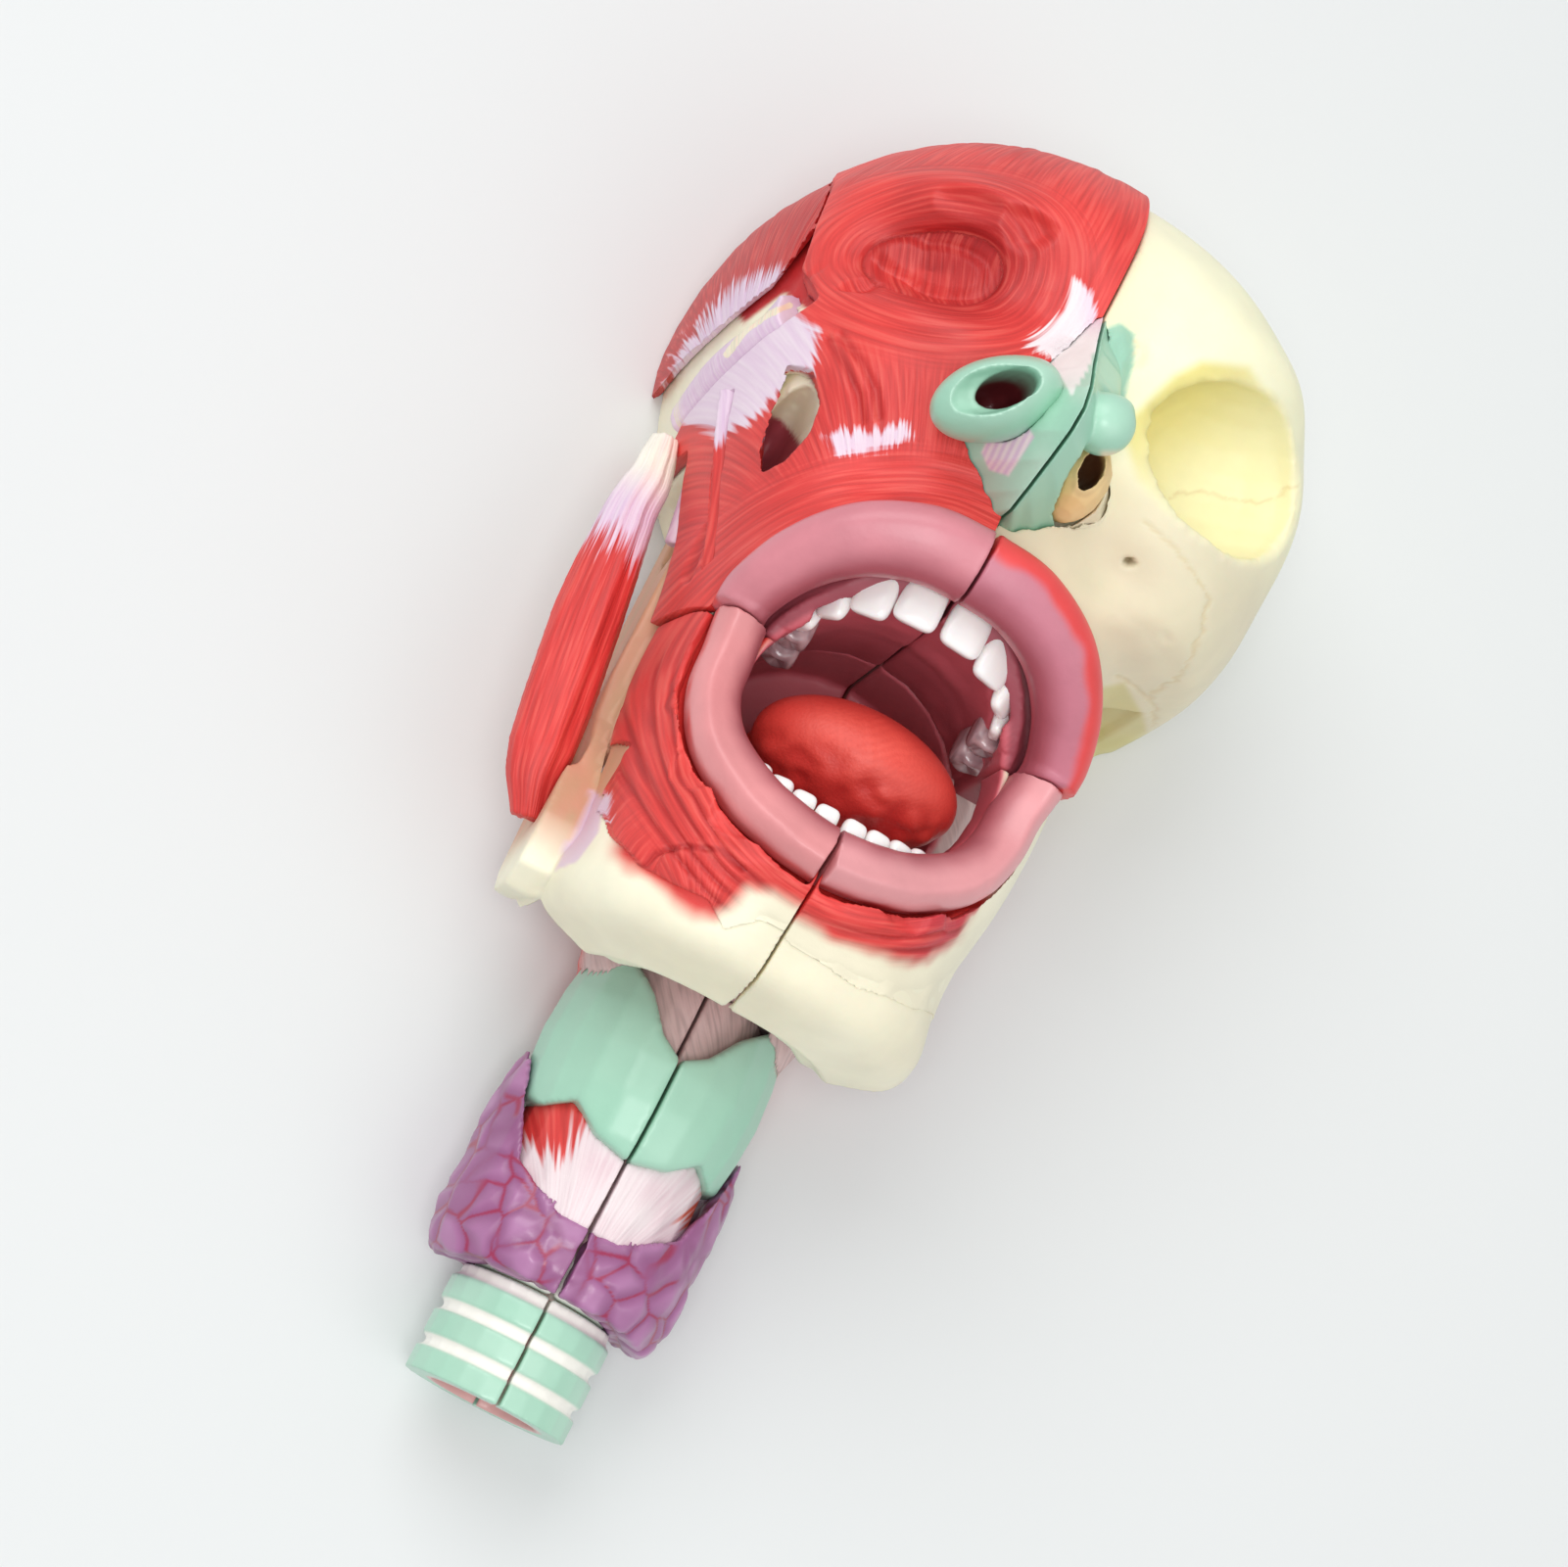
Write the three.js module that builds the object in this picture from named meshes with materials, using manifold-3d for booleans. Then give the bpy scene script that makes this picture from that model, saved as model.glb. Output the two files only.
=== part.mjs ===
// Anatomical throat model, lying on its flat back: a face and skull cut at the median plane,
// a gaping mouth with two jaw halves and a tongue that come off, and the larynx with its trachea.
// Millimetres. +X to the subject's left, +Y up the body to the crown, +Z from the table to the face.
import * as THREE from "three";
import { mergeVertices } from "three/addons/utils/BufferGeometryUtils.js";
import Module from "manifold-3d";

const wasm = await Module();
wasm.setup();

// Overall sizes: the three driving dimensions that every place below is a share of
const LENGTH = 328; // lower end of the trachea to the crown
const HALF_WIDTH = 78; // median plane to the temple
const DEPTH = 150; // table to the tip of the nose

// Gaps
const SEAM = 0.8; // median saw cut, between the halves
const FIT = 0.35; // between pieces that touch
const OVERRUN = 40; // how far a cutting tool runs past what it cuts
const WELD = 0.0001; // points closer than this are one point

// Head
const SHEET = 4.2; // thickness of the facial muscle sheet
const TEMPLE_SHEET = 2.6; // thickness of the temple muscle, a step below the sheet
const JAW_WALL_SHARE = 0.141; // of the half width
const JAW_WALL = JAW_WALL_SHARE * HALF_WIDTH;
const RAMUS_THICK_SHARE = 0.1154; // of the half width
const RAMUS_THICK = RAMUS_THICK_SHARE * HALF_WIDTH;
const ARCH_HALF_THICK = 4.5;
const ARCH_HALF_WIDTH = 7.5;
const STRAP_HALF_WIDTH = 6.5;
const STRAP_HALF_THICK = 3;
const BASE_BLOCK_HALF_WIDTH = 43; // solid bone behind the nose, over the throat
const BASE_BLOCK_LAP = 3;
const RIGHT_BASE_INSET = 8; // the base stays behind the muscles on the right
const BACK_PANEL_DEPTH = 4; // recess in the flat back of each half
const BACK_RIM = 9;
const HEAD_STEPS = 18; // facets up the head
const RING_SHARE = 0.6; // facets from pole to pole of a ball, as a share of those round it

// Mouth
const MOUTH_WIDTH_SHARE = 0.4038; // of the half width
const MOUTH_HEIGHT_SHARE = 0.0869; // of the length
const CHEEK_WALL_SHARE = 0.1667; // of the half width
const MOUTH_HALF_WIDTH = MOUTH_WIDTH_SHARE * HALF_WIDTH;
const MOUTH_HALF_HEIGHT = MOUTH_HEIGHT_SHARE * LENGTH;
const CHEEK_WALL = CHEEK_WALL_SHARE * HALF_WIDTH;
const LIP_HALF_WIDTH = 7.2;
const LIP_HALF_THICK = 8.5;
const UPPER_SWELL = 5; // how far the face rises towards the lips
const LOWER_SWELL = 8;
const SWELL_REACH = 12;
const TOOTH_HEIGHT_SHARE = 0.0305; // of the length
const TOOTH_WIDTH_SHARE = 0.1154; // of the half width
const TOOTH_THICK_SHARE = 0.0333; // of the depth
const TOOTH_HEIGHT = TOOTH_HEIGHT_SHARE * LENGTH;
const TOOTH_WIDTH = TOOTH_WIDTH_SHARE * HALF_WIDTH;
const TOOTH_THICK = TOOTH_THICK_SHARE * DEPTH;
const SOCKET_FIT = 0.8; // between a tooth and its socket
const TOOTH_STAND_SHARE = 0.25; // of its height: how far a tooth stands out of the gum
const TEETH_PER_QUARTER = 6;
const GUM_RADIUS = 3;
const TONGUE_PEG_RADIUS = 3;
const TONGUE_PEG_LENGTH = 22;

// Throat
const TRACHEA_RADIUS = 20.5;
const TRACHEA_BORE = 13.5;
const TRACHEA_LENGTH_SHARE = 0.0823; // of the length
const TRACHEA_LENGTH = TRACHEA_LENGTH_SHARE * LENGTH;
const TRACHEA_RING_COUNT = 3;
const TRACHEA_GROOVE = 1.4;
const RING_EDGE_SHARE = 0.62; // of the pitch: where a ring begins to fall away
const BAND_START_SHARE = 0.7;
const BAND_END_SHARE = 0.92;
const THROAT_AXIS_HEIGHT = 23;

// Pins
const PIN_RADIUS = 3;
const PIN_LENGTH = 14; // half in each side
const PIN_CLEARANCE = 0.3;
const JAW_PIN_RADIUS = 2.5;
const JAW_PIN_LENGTH = 12;

const LEFT = 1;
const RIGHT = -1;
const QUARTER_TURN = Math.PI / 2;

// A place from shares of the half width, the length and the depth.
const place = ([x, y, z]) => new THREE.Vector3(x * HALF_WIDTH, y * LENGTH, z * DEPTH);
const places = (shares) => shares.map(place);
const mirrored = (side) => (point) => new THREE.Vector3(point.x * side, point.y, point.z);

// Geometry to solid and back
function solidOf(geometry) {
  const bare = geometry.clone();
  bare.deleteAttribute("normal");
  bare.deleteAttribute("uv");
  const merged = mergeVertices(bare, WELD);
  const make = (triVerts) =>
    new wasm.Manifold(
      new wasm.Mesh({ numProp: 3, vertProperties: merged.attributes.position.array, triVerts }),
    );
  const triangles = new Uint32Array(merged.index.array);
  const solid = make(triangles);
  if (solid.volume() > 0) return solid;
  for (let i = 0; i < triangles.length; i += 3) {
    [triangles[i + 1], triangles[i + 2]] = [triangles[i + 2], triangles[i + 1]];
  }
  return make(triangles);
}

function geometryOf(solid) {
  const { numProp, vertProperties, triVerts } = solid.getMesh();
  const count = vertProperties.length / numProp;
  const positions = new Float32Array(count * 3);
  for (let i = 0; i < count; i++) {
    positions.set(vertProperties.subarray(i * numProp, i * numProp + 3), i * 3);
  }
  return new THREE.BufferGeometry()
    .setAttribute("position", new THREE.BufferAttribute(positions, 3))
    .setIndex(new THREE.BufferAttribute(triVerts, 1));
}

// The body itself, without the slivers that crossing cuts can leave.
const trimmed = (solid) =>
  solid.decompose().reduce((most, body) => (body.volume() > most.volume() ? body : most));

const joined = (solids) => solids.reduce((whole, piece) => whole.add(piece));
const cutBy = (solid, tools) => tools.reduce((rest, tool) => rest.subtract(tool), solid);

// Skins a row of rings, each with as many points, and closes both ends with a fan.
function loft(rings) {
  const count = rings[0].length;
  const positions = [];
  const index = [];
  rings.forEach((ring) => ring.forEach((point) => positions.push(...point.toArray())));
  for (let r = 0; r + 1 < rings.length; r++) {
    for (let i = 0; i < count; i++) {
      const a = r * count + i;
      const b = r * count + ((i + 1) % count);
      index.push(a, b, a + count, b, b + count, a + count);
    }
  }
  [0, rings.length - 1].forEach((r, end) => {
    const centre = new THREE.Vector3();
    rings[r].forEach((point) => centre.addScaledVector(point, 1 / count));
    const hub = positions.length / 3;
    positions.push(...centre.toArray());
    for (let i = 0; i < count; i++) {
      const a = r * count + i;
      const b = r * count + ((i + 1) % count);
      index.push(...(end ? [hub, a, b] : [hub, b, a]));
    }
  });
  return solidOf(
    new THREE.BufferGeometry()
      .setAttribute("position", new THREE.Float32BufferAttribute(positions, 3))
      .setIndex(index),
  );
}

// Elliptical tube along a smooth curve, with its half width and half thickness at each point.
function sweep(points, halfWidths, halfThicks, steps, sides, grow = 0) {
  const path = new THREE.CatmullRomCurve3(points);
  const along = (values, t) => {
    const at = t * (values.length - 1);
    const low = Math.min(Math.floor(at), values.length - 2);
    return THREE.MathUtils.lerp(values[low], values[low + 1], at - low);
  };
  const rings = [];
  for (let s = 0; s <= steps; s++) {
    const t = s / steps;
    const centre = path.getPoint(t);
    const tangent = path.getTangent(t);
    const across = new THREE.Vector3(0, 0, 1).cross(tangent).normalize();
    const up = tangent.clone().cross(across).normalize();
    const width = along(halfWidths, t) + grow;
    const thick = along(halfThicks, t) + grow;
    rings.push(
      Array.from({ length: sides }, (_, i) => {
        const angle = (2 * Math.PI * i) / sides;
        return centre
          .clone()
          .addScaledVector(across, width * Math.cos(angle))
          .addScaledVector(up, thick * Math.sin(angle));
      }),
    );
  }
  return loft(rings);
}

function ellipsoid(centre, radii, grow = 0, segments = 14) {
  const ball = new THREE.SphereGeometry(1, segments, Math.round(segments * RING_SHARE));
  ball.scale(radii[0] + grow, radii[1] + grow, radii[2] + grow);
  ball.translate(centre.x, centre.y, centre.z);
  return solidOf(ball);
}

function box(low, high) {
  const size = high.clone().sub(low);
  const block = new THREE.BoxGeometry(size.x, size.y, size.z);
  block.translate(low.x + size.x / 2, low.y + size.y / 2, low.z + size.z / 2);
  return solidOf(block);
}

function rod(radius, length, axis, centre, sides = 20) {
  const bar = new THREE.CylinderGeometry(radius, radius, length, sides);
  if (axis === "x") bar.rotateZ(QUARTER_TURN);
  if (axis === "z") bar.rotateX(QUARTER_TURN);
  bar.translate(centre.x, centre.y, centre.z);
  return solidOf(bar);
}

// Straight-sided block over an outline in the XY plane, from one height to another.
function prism(points, low, high) {
  const shape = new THREE.Shape(points.map((p) => new THREE.Vector2(p.x, p.y)));
  const block = new THREE.ExtrudeGeometry(shape, { depth: high - low, bevelEnabled: false, steps: 1 });
  block.translate(0, 0, low);
  return solidOf(block);
}

// Upright block over an outline in the YZ plane, right across the part.
function slab(points, low = -HALF_WIDTH - OVERRUN, high = HALF_WIDTH + OVERRUN) {
  const shape = new THREE.Shape(points.map((p) => new THREE.Vector2(p.y, p.z)));
  const block = new THREE.ExtrudeGeometry(shape, { depth: high - low, bevelEnabled: false, steps: 1 });
  block.applyMatrix4(new THREE.Matrix4().set(0, 0, 1, low, 1, 0, 0, 0, 0, 1, 0, 0, 0, 0, 0, 1));
  return solidOf(block);
}

function ellipsePoints(centre, halfWidth, halfHeight, count = 24) {
  return Array.from({ length: count }, (_, i) => {
    const angle = (2 * Math.PI * i) / count;
    return new THREE.Vector3(
      centre.x + halfWidth * Math.cos(angle),
      centre.y + halfHeight * Math.sin(angle),
      0,
    );
  });
}

// The room that one half may fill: its own side of the saw cut.
function halfRoom(side) {
  const near = (side * SEAM) / 2;
  const far = side * (HALF_WIDTH + OVERRUN);
  return box(
    new THREE.Vector3(Math.min(near, far), -OVERRUN, -OVERRUN),
    new THREE.Vector3(Math.max(near, far), LENGTH + OVERRUN, DEPTH + OVERRUN),
  );
}
const ROOM = { [LEFT]: halfRoom(LEFT), [RIGHT]: halfRoom(RIGHT) };

// Fills a table of stations to a smooth row: the first column runs up the body.
function smoothStations(stationShares, count) {
  const columns = stationShares[0].length;
  const curve = (column) =>
    new THREE.SplineCurve(stationShares.map((row) => new THREE.Vector2(row[0], row[column])));
  const curves = Array.from({ length: columns - 1 }, (_, c) => curve(c + 1));
  return Array.from({ length: count + 1 }, (_, i) => {
    const points = curves.map((c) => c.getPoint(i / count));
    return [points[0].x, ...points.map((p) => p.y)];
  });
}

// Half of a body of revolution-like sections lying on the table: widest at the table,
// highest at the median plane, with relief raised or sunk on its skin. A cutting tool drops
// below the table.
function halfBody(side, stationShares, options) {
  const { inset = 0, crownInset = 0, drop = 0, relief = [], swell = 0, count = 8, spokes = 12 } = options;
  const rows = smoothStations(stationShares, count);
  const rings = rows.map(([yShare, widthShare, heightShare, power]) => {
    const pastCrownStart = (yShare - CROWN_START_SHARE) / (1 - CROWN_START_SHARE);
    const y = yShare * LENGTH - crownInset * Math.max(0, pastCrownStart);
    const width = Math.max(widthShare * HALF_WIDTH - inset, inset);
    const height = Math.max(heightShare * DEPTH - inset, inset);
    const skin = Array.from({ length: spokes + 1 }, (_, i) => {
      const angle = (QUARTER_TURN * i) / spokes;
      const s = Math.sin(angle);
      const c = Math.cos(angle);
      const radius = ((s / width) ** power + (c / height) ** power) ** (-1 / power);
      const lifted = radius + lift(relief, radius * s, y) + swell * lipShare(radius * s, y);
      return new THREE.Vector3(side * lifted * s, y, lifted * c);
    });
    skin[0].x = 0;
    const foot = [new THREE.Vector3(0, y, -drop)];
    if (drop > 0) foot.unshift(new THREE.Vector3(skin.at(-1).x, y, -drop));
    return [...foot, ...skin];
  });
  return loft(rings);
}

// Sum of soft mounds and hollows, each at a place with a width, a height and a lift.
function lift(relief, x, y) {
  return relief.reduce((sum, [xShare, yShare, wideShare, tallShare, liftShare]) => {
    const across = (x - xShare * HALF_WIDTH) / (wideShare * HALF_WIDTH);
    const along = (y - yShare * LENGTH) / (tallShare * LENGTH);
    return sum + liftShare * DEPTH * Math.exp(-across * across - along * along);
  }, 0);
}

// 1 under the ring of the lips, falling away on both sides of it.
function lipShare(x, y) {
  const ring = Math.hypot(x, y - MOUTH_CENTRE_SHARE[1] * LENGTH);
  return Math.exp(-(((ring - MOUTH_HALF_WIDTH - LIP_HALF_WIDTH) / SWELL_REACH) ** 2));
}

// Half of a round section about the throat's axis, standing clear of the table.
function halfColumn(side, stationShares, { power = 2, inset = 0, count = 5, spokes = 10 }) {
  const rows = smoothStations(stationShares, count);
  return loft(
    rows.map(([yShare, widthShare, topShare, bottomShare]) => {
      const width = widthShare * HALF_WIDTH - inset;
      const middle = THROAT_AXIS_HEIGHT;
      const top = topShare * DEPTH - inset - middle;
      const bottom = middle - bottomShare * DEPTH - inset;
      return Array.from({ length: spokes + 1 }, (_, i) => {
        const angle = (Math.PI * i) / spokes;
        const s = Math.sin(angle) ** (2 / power);
        const c = Math.sign(Math.cos(angle)) * Math.abs(Math.cos(angle)) ** (2 / power);
        return new THREE.Vector3(side * width * s, yShare * LENGTH, middle + (c > 0 ? top : bottom) * c);
      });
    }),
  );
}

// Head: the upper face and the cranium above it, from the cheeks to the crown
const CROWN_START_SHARE = 0.777;
// Rows of place up the body, half width, height at the median plane, and how boxy the section is
const RIGHT_HEAD_SHARES = [
  [0.524, 0.679, 0.667, 4], [0.561, 0.705, 0.72, 4], [0.598, 0.744, 0.753, 3.9],
  [0.634, 0.801, 0.767, 3.6], [0.671, 0.865, 0.777, 3.2], [0.707, 0.929, 0.787, 2.8],
  [0.75, 0.997, 0.793, 2.5], [0.799, 1.018, 0.797, 2.35], [0.848, 0.997, 0.795, 2.3],
  [0.89, 0.928, 0.78, 2.3], [0.924, 0.833, 0.73, 2.3], [0.951, 0.718, 0.65, 2.3],
  [0.973, 0.583, 0.537, 2.3], [0.989, 0.397, 0.387, 2.3], [1, 0.167, 0.167, 2.3],
];
const LEFT_HEAD_SHARES = [
  [0.598, 0.577, 0.653, 3.6], [0.622, 0.615, 0.7, 3.6], [0.643, 0.679, 0.727, 3.6],
  [0.659, 0.821, 0.737, 3.6], [0.674, 0.923, 0.747, 3.6], [0.707, 0.974, 0.767, 3.5],
  [0.75, 0.995, 0.78, 3.2], [0.799, 1, 0.783, 3], [0.848, 0.977, 0.782, 2.8],
  [0.89, 0.915, 0.767, 2.6], [0.921, 0.827, 0.717, 2.45], [0.945, 0.718, 0.637, 2.35],
  [0.965, 0.577, 0.523, 2.3], [0.98, 0.391, 0.38, 2.3], [0.989, 0.167, 0.167, 2.3],
];
const BACK_START_SHARE = 0.662; // below this the head is open behind the face
const HEAD_BASE_SHARES = [
  [0.61, 0.641, 0.133, 3], [0.634, 0.769, 0.147, 3], [0.665, 0.897, 0.16, 3],
  [0.707, 0.949, 0.173, 3],
];
const RIGHT_RELIEF_SHARES = [
  [0.487, 0.814, 0.192, 0.03, -0.093], [0.487, 0.866, 0.282, 0.021, 0.033],
  [0.769, 0.817, 0.09, 0.037, 0.027], [0.462, 0.765, 0.282, 0.021, 0.027],
  [0.154, 0.817, 0.115, 0.037, -0.033], [0.179, 0.89, 0.179, 0.03, 0.013],
  [0.577, 0.707, 0.179, 0.027, 0.02], [0.385, 0.652, 0.128, 0.024, -0.02],
];
const LEFT_RELIEF_SHARES = [
  [0.59, 0.878, 0.282, 0.021, 0.02], [0.154, 0.817, 0.115, 0.03, -0.027],
  [0.846, 0.799, 0.103, 0.055, 0.02], [0.513, 0.741, 0.205, 0.018, 0.013],
  [0.385, 0.677, 0.154, 0.024, -0.033], [0.282, 0.707, 0.103, 0.024, -0.02],
  [0.846, 0.902, 0.128, 0.037, -0.02],
];

// Right facial muscle sheet, from the crown down to the corner of the mouth
const SHEET_OUTLINE_SHARES = [
  [0, 1.006, 0], [-0.462, 1.006, 0], [-0.667, 0.97, 0], [-0.782, 0.93, 0], [-0.814, 0.884, 0],
  [-0.808, 0.823, 0], [-0.788, 0.785, 0], [-0.713, 0.761, 0], [-0.782, 0.733, 0],
  [-0.833, 0.707, 0], [-0.853, 0.689, 0], [-0.821, 0.652, 0], [-0.744, 0.61, 0],
  [-0.705, 0.567, 0], [-0.679, 0.533, 0], [0, 0.533, 0],
];
const CHEEK_HOLE_SHARES = [
  [-0.712, 0.707, 0], [-0.641, 0.704, 0], [-0.583, 0.683, 0], [-0.571, 0.662, 0],
  [-0.59, 0.637, 0], [-0.628, 0.627, 0], [-0.66, 0.64, 0], [-0.692, 0.671, 0],
];
const TEMPLE_OUTLINE_SHARES = [
  [-0.673, 0.971, 0], [-0.513, 1.018, 0], [-1.103, 1.018, 0], [-1.103, 0.735, 0],
  [-0.968, 0.735, 0], [-0.91, 0.753, 0], [-0.844, 0.78, 0], [-0.815, 0.823, 0], [-0.819, 0.884, 0],
  [-0.787, 0.93, 0],
];

// Bars and straps that stand off the right cheek
const ARCH_SHARES = [
  [-0.776, 0.755, 0.56], [-0.846, 0.732, 0.467], [-0.897, 0.709, 0.36], [-0.929, 0.687, 0.253],
];
const ARCH_WIDTH_SHARES = [1, 0.87, 0.73, 0.6];
const STRAP_SHARES = [
  [-0.814, 0.692, 0.493], [-0.776, 0.646, 0.507], [-0.718, 0.604, 0.527], [-0.654, 0.562, 0.553],
];
const MASSETER_SHARES = [
  [-0.891, 0.669, 0.287], [-0.878, 0.634, 0.32], [-0.853, 0.579, 0.34], [-0.827, 0.518, 0.347],
  [-0.795, 0.457, 0.353], [-0.763, 0.405, 0.353], [-0.731, 0.366, 0.347],
];
const MASSETER_HALF_WIDTHS_SHARES = [0.42, 0.66, 0.86, 1, 1, 0.92, 0.5];
const MASSETER_WIDTH_SHARE = 0.11026; // of the half width
const MASSETER_THICK_SHARE = 0.05; // of the depth
const MASSETER_HALF_WIDTH = MASSETER_WIDTH_SHARE * HALF_WIDTH;
const MASSETER_HALF_THICK = MASSETER_THICK_SHARE * DEPTH;
const TENDON_SHARES = [
  [-0.744, 0.64, 0.342], [-0.731, 0.622, 0.342], [-0.712, 0.595, 0.342],
];
const TENDON_HALF_WIDTH = 3.4;
const TENDON_HALF_THICK = 2.4;
const CHEEK_PIT_SHARE = [-0.635, 0.665, 0.613];
const CHEEK_PIT_RADII = [5, 12, 24];

// Left half: orbit, temple hollow, nose opening
const ORBIT_CENTRE_SHARE = [0.577, 0.791, 0.707];
const ORBIT_RADII = [27, 19.5, 25];
const ORBIT_TURN = 0.5; // the socket faces a little outward
const ORBIT_LEAN = 0.27; // and its outer end lies nearer the crown
const TEMPLE_HOLLOW_SHARE = [1.09, 0.799, 0.2];
const TEMPLE_HOLLOW_RADII = [9, 24, 17];

// Nose: a ridge, highest at its tip
const NOSE_SHARES = [
  [0.662, 0.256, 0.827, 1.9], [0.674, 0.333, 0.88, 1.9], [0.692, 0.41, 0.947, 1.9],
  [0.71, 0.436, 0.997, 1.9], [0.732, 0.397, 0.987, 1.9], [0.759, 0.346, 0.93, 1.8],
  [0.79, 0.295, 0.867, 1.8], [0.823, 0.205, 0.807, 1.8],
];
const NOSE_FOOT_SHARE = 0.7;
const ALAR_SHARE = [-0.199, 0.715, 0.88];
const ALAR_TURN = 0.7; // the wing leans outward as it runs down the face
const ALAR_RADII = [14.5, 9, 13];
const ALAR_HOLE_RADII = [6.2, 4, 14];
const ALAR_SCOOP_RADII = [9.5, 5.6, 9];
const SCOOP_SHARE = 0.36; // of the wing's length: how far the scoop lies towards its lower end
const HOLE_RISE_SHARE = 0.5; // of the wing: how high the nostril's bowl sits in it
const LEFT_NOSTRIL_SHARE = [0.147, 0.713, 0.767];
const NOSTRIL_CUP_RADII = [7, 9.5, 13];
const NOSTRIL_WALL = 3.8;
const NOSTRIL_REACH = 22; // the slit runs right through its rim
const LEFT_DOME_SHARE = [0.096, 0.735, 0.9];
const LEFT_DOME_RADIUS = 7.2;

// Mouth
const MOUTH_CENTRE_SHARE = [0, 0.502, 0];
const CORNER_SHARE = 0.532;
const UPPER_LIP_SHARES = [
  [0, 0.614, 0.78], [0.154, 0.611, 0.777], [0.308, 0.598, 0.747], [0.423, 0.573, 0.693],
  [0.487, 0.543, 0.633], [0.495, 0.518, 0.607],
];
const UPPER_LIP_WIDTH_SHARES = [1.18, 1.18, 1.12, 1.02, 0.92, 0.9];
const LOWER_LIP_SHARES = [
  [0.492, 0.546, 0.627], [0.492, 0.512, 0.61], [0.481, 0.476, 0.62], [0.41, 0.441, 0.66],
  [0.269, 0.415, 0.7], [0.128, 0.402, 0.727], [0, 0.398, 0.737],
];
const LOWER_LIP_WIDTH_SHARES = [0.9, 0.9, 0.92, 0.96, 1, 1, 1];
const UPPER_WALL_TOP_SHARES = [
  [0, 0.512, 0.587], [0, 0.543, 0.62], [0, 0.579, 0.687], [0, 0.625, 0.753], [0, 0.677, 0.753],
];
const LOWER_WALL_TOP_SHARES = [
  [0, 0.274, 0.707], [0, 0.341, 0.727], [0, 0.372, 0.747], [0, 0.405, 0.727], [0, 0.445, 0.64],
  [0, 0.488, 0.607], [0, 0.543, 0.62],
];
const WALL_FOOT_SHARE = 0.36;
const UPPER_ARCH_SHARES = [
  [0.315, 0.53, 0.44], [0.326, 0.54, 0.52], [0.318, 0.553, 0.6], [0.256, 0.566, 0.663],
  [0.141, 0.575, 0.7], [0.013, 0.579, 0.713],
];
const LOWER_ARCH_SHARES = [
  [0.354, 0.45, 0.447], [0.356, 0.447, 0.52], [0.344, 0.441, 0.593], [0.276, 0.432, 0.657],
  [0.154, 0.424, 0.693], [0.015, 0.421, 0.707],
];
const TONGUE_BLADE = { centreShare: [0.026, 0.489, 0.52], radii: [25.5, 14, 22] };
const TONGUE_ROOT = { centreShare: [-0.026, 0.491, 0.293], radii: [19, 13, 30] };
const CAVITY_FLOOR_SHARE = 0.167;

// Jaw
const JAW_SHARES = [
  [0.302, 0.513, 0.573, 3], [0.314, 0.615, 0.66, 3.2], [0.335, 0.654, 0.687, 3.4],
  [0.366, 0.635, 0.687, 3.4], [0.402, 0.615, 0.673, 3.6], [0.445, 0.609, 0.653, 4],
  [0.488, 0.609, 0.647, 4], [0.537, 0.615, 0.647, 4],
];
const JAW_FLOOR_SHARE = 0.39;
const JAW_STEPS = 14; // facets up the jaw
const CHIN_MUSCLE = 2.6;
const RIGHT_CHIN_OUTLINE_SHARES = [
  [0, 0.345, 0], [-0.077, 0.345, 0], [-0.154, 0.329, 0], [-0.231, 0.341, 0], [-0.333, 0.341, 0],
  [-0.436, 0.345, 0], [-0.526, 0.36, 0], [-0.585, 0.384, 0], [-0.586, 0.43, 0], [-0.692, 0.448, 0],
  [-0.692, 0.529, 0], [0, 0.529, 0],
];
const LEFT_CHIN_OUTLINE_SHARES = [
  [0, 0.341, 0], [0.256, 0.338, 0], [0.462, 0.351, 0], [0.692, 0.384, 0], [0.692, 0.529, 0],
  [0, 0.529, 0],
];
const LEFT_JAW_END_SHARES = [
  [0, 0.274, 0.333], [0, 0.314, 0.333], [0, 0.415, 0.507], [0, 0.579, 0.507], [0, 0.579, 0.933],
  [0, 0.274, 0.933],
];
const RAMUS_OUTLINE_SHARES = [
  [0, 0.335, 0.2], [0, 0.317, 0.267], [0, 0.314, 0.387], [0, 0.329, 0.44], [0, 0.366, 0.447],
  [0, 0.412, 0.387], [0, 0.457, 0.34], [0, 0.573, 0.333], [0, 0.595, 0.317], [0, 0.588, 0.24],
  [0, 0.604, 0.17], [0, 0.646, 0.15], [0, 0.652, 0.087], [0, 0.628, 0.06], [0, 0.549, 0.093],
  [0, 0.396, 0.133],
];
const RAMUS_FACE_SHARE = 0.594;

// Throat
const PHARYNX_SHARES = [
  [0.262, 0.321, 0.307, 0.027], [0.305, 0.346, 0.313, 0.02], [0.366, 0.423, 0.333, 0.013],
  [0.427, 0.513, 0.347, 0.01], [0.488, 0.551, 0.353, 0.007], [0.549, 0.551, 0.353, 0.007],
  [0.608, 0.551, 0.353, 0.007],
];
const CORE_SHARES = [
  [0.084, 0.218, 0.28, 0.033], [0.137, 0.224, 0.287, 0.033], [0.189, 0.231, 0.307, 0.033],
  [0.261, 0.237, 0.32, 0.033], [0.325, 0.244, 0.313, 0.033],
];
const THYROID_SHARES = [
  [0.177, 0.308, 0.34, 0.053], [0.207, 0.333, 0.367, 0.047], [0.244, 0.353, 0.373, 0.047],
  [0.28, 0.353, 0.363, 0.047], [0.326, 0.321, 0.34, 0.053],
];
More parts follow.
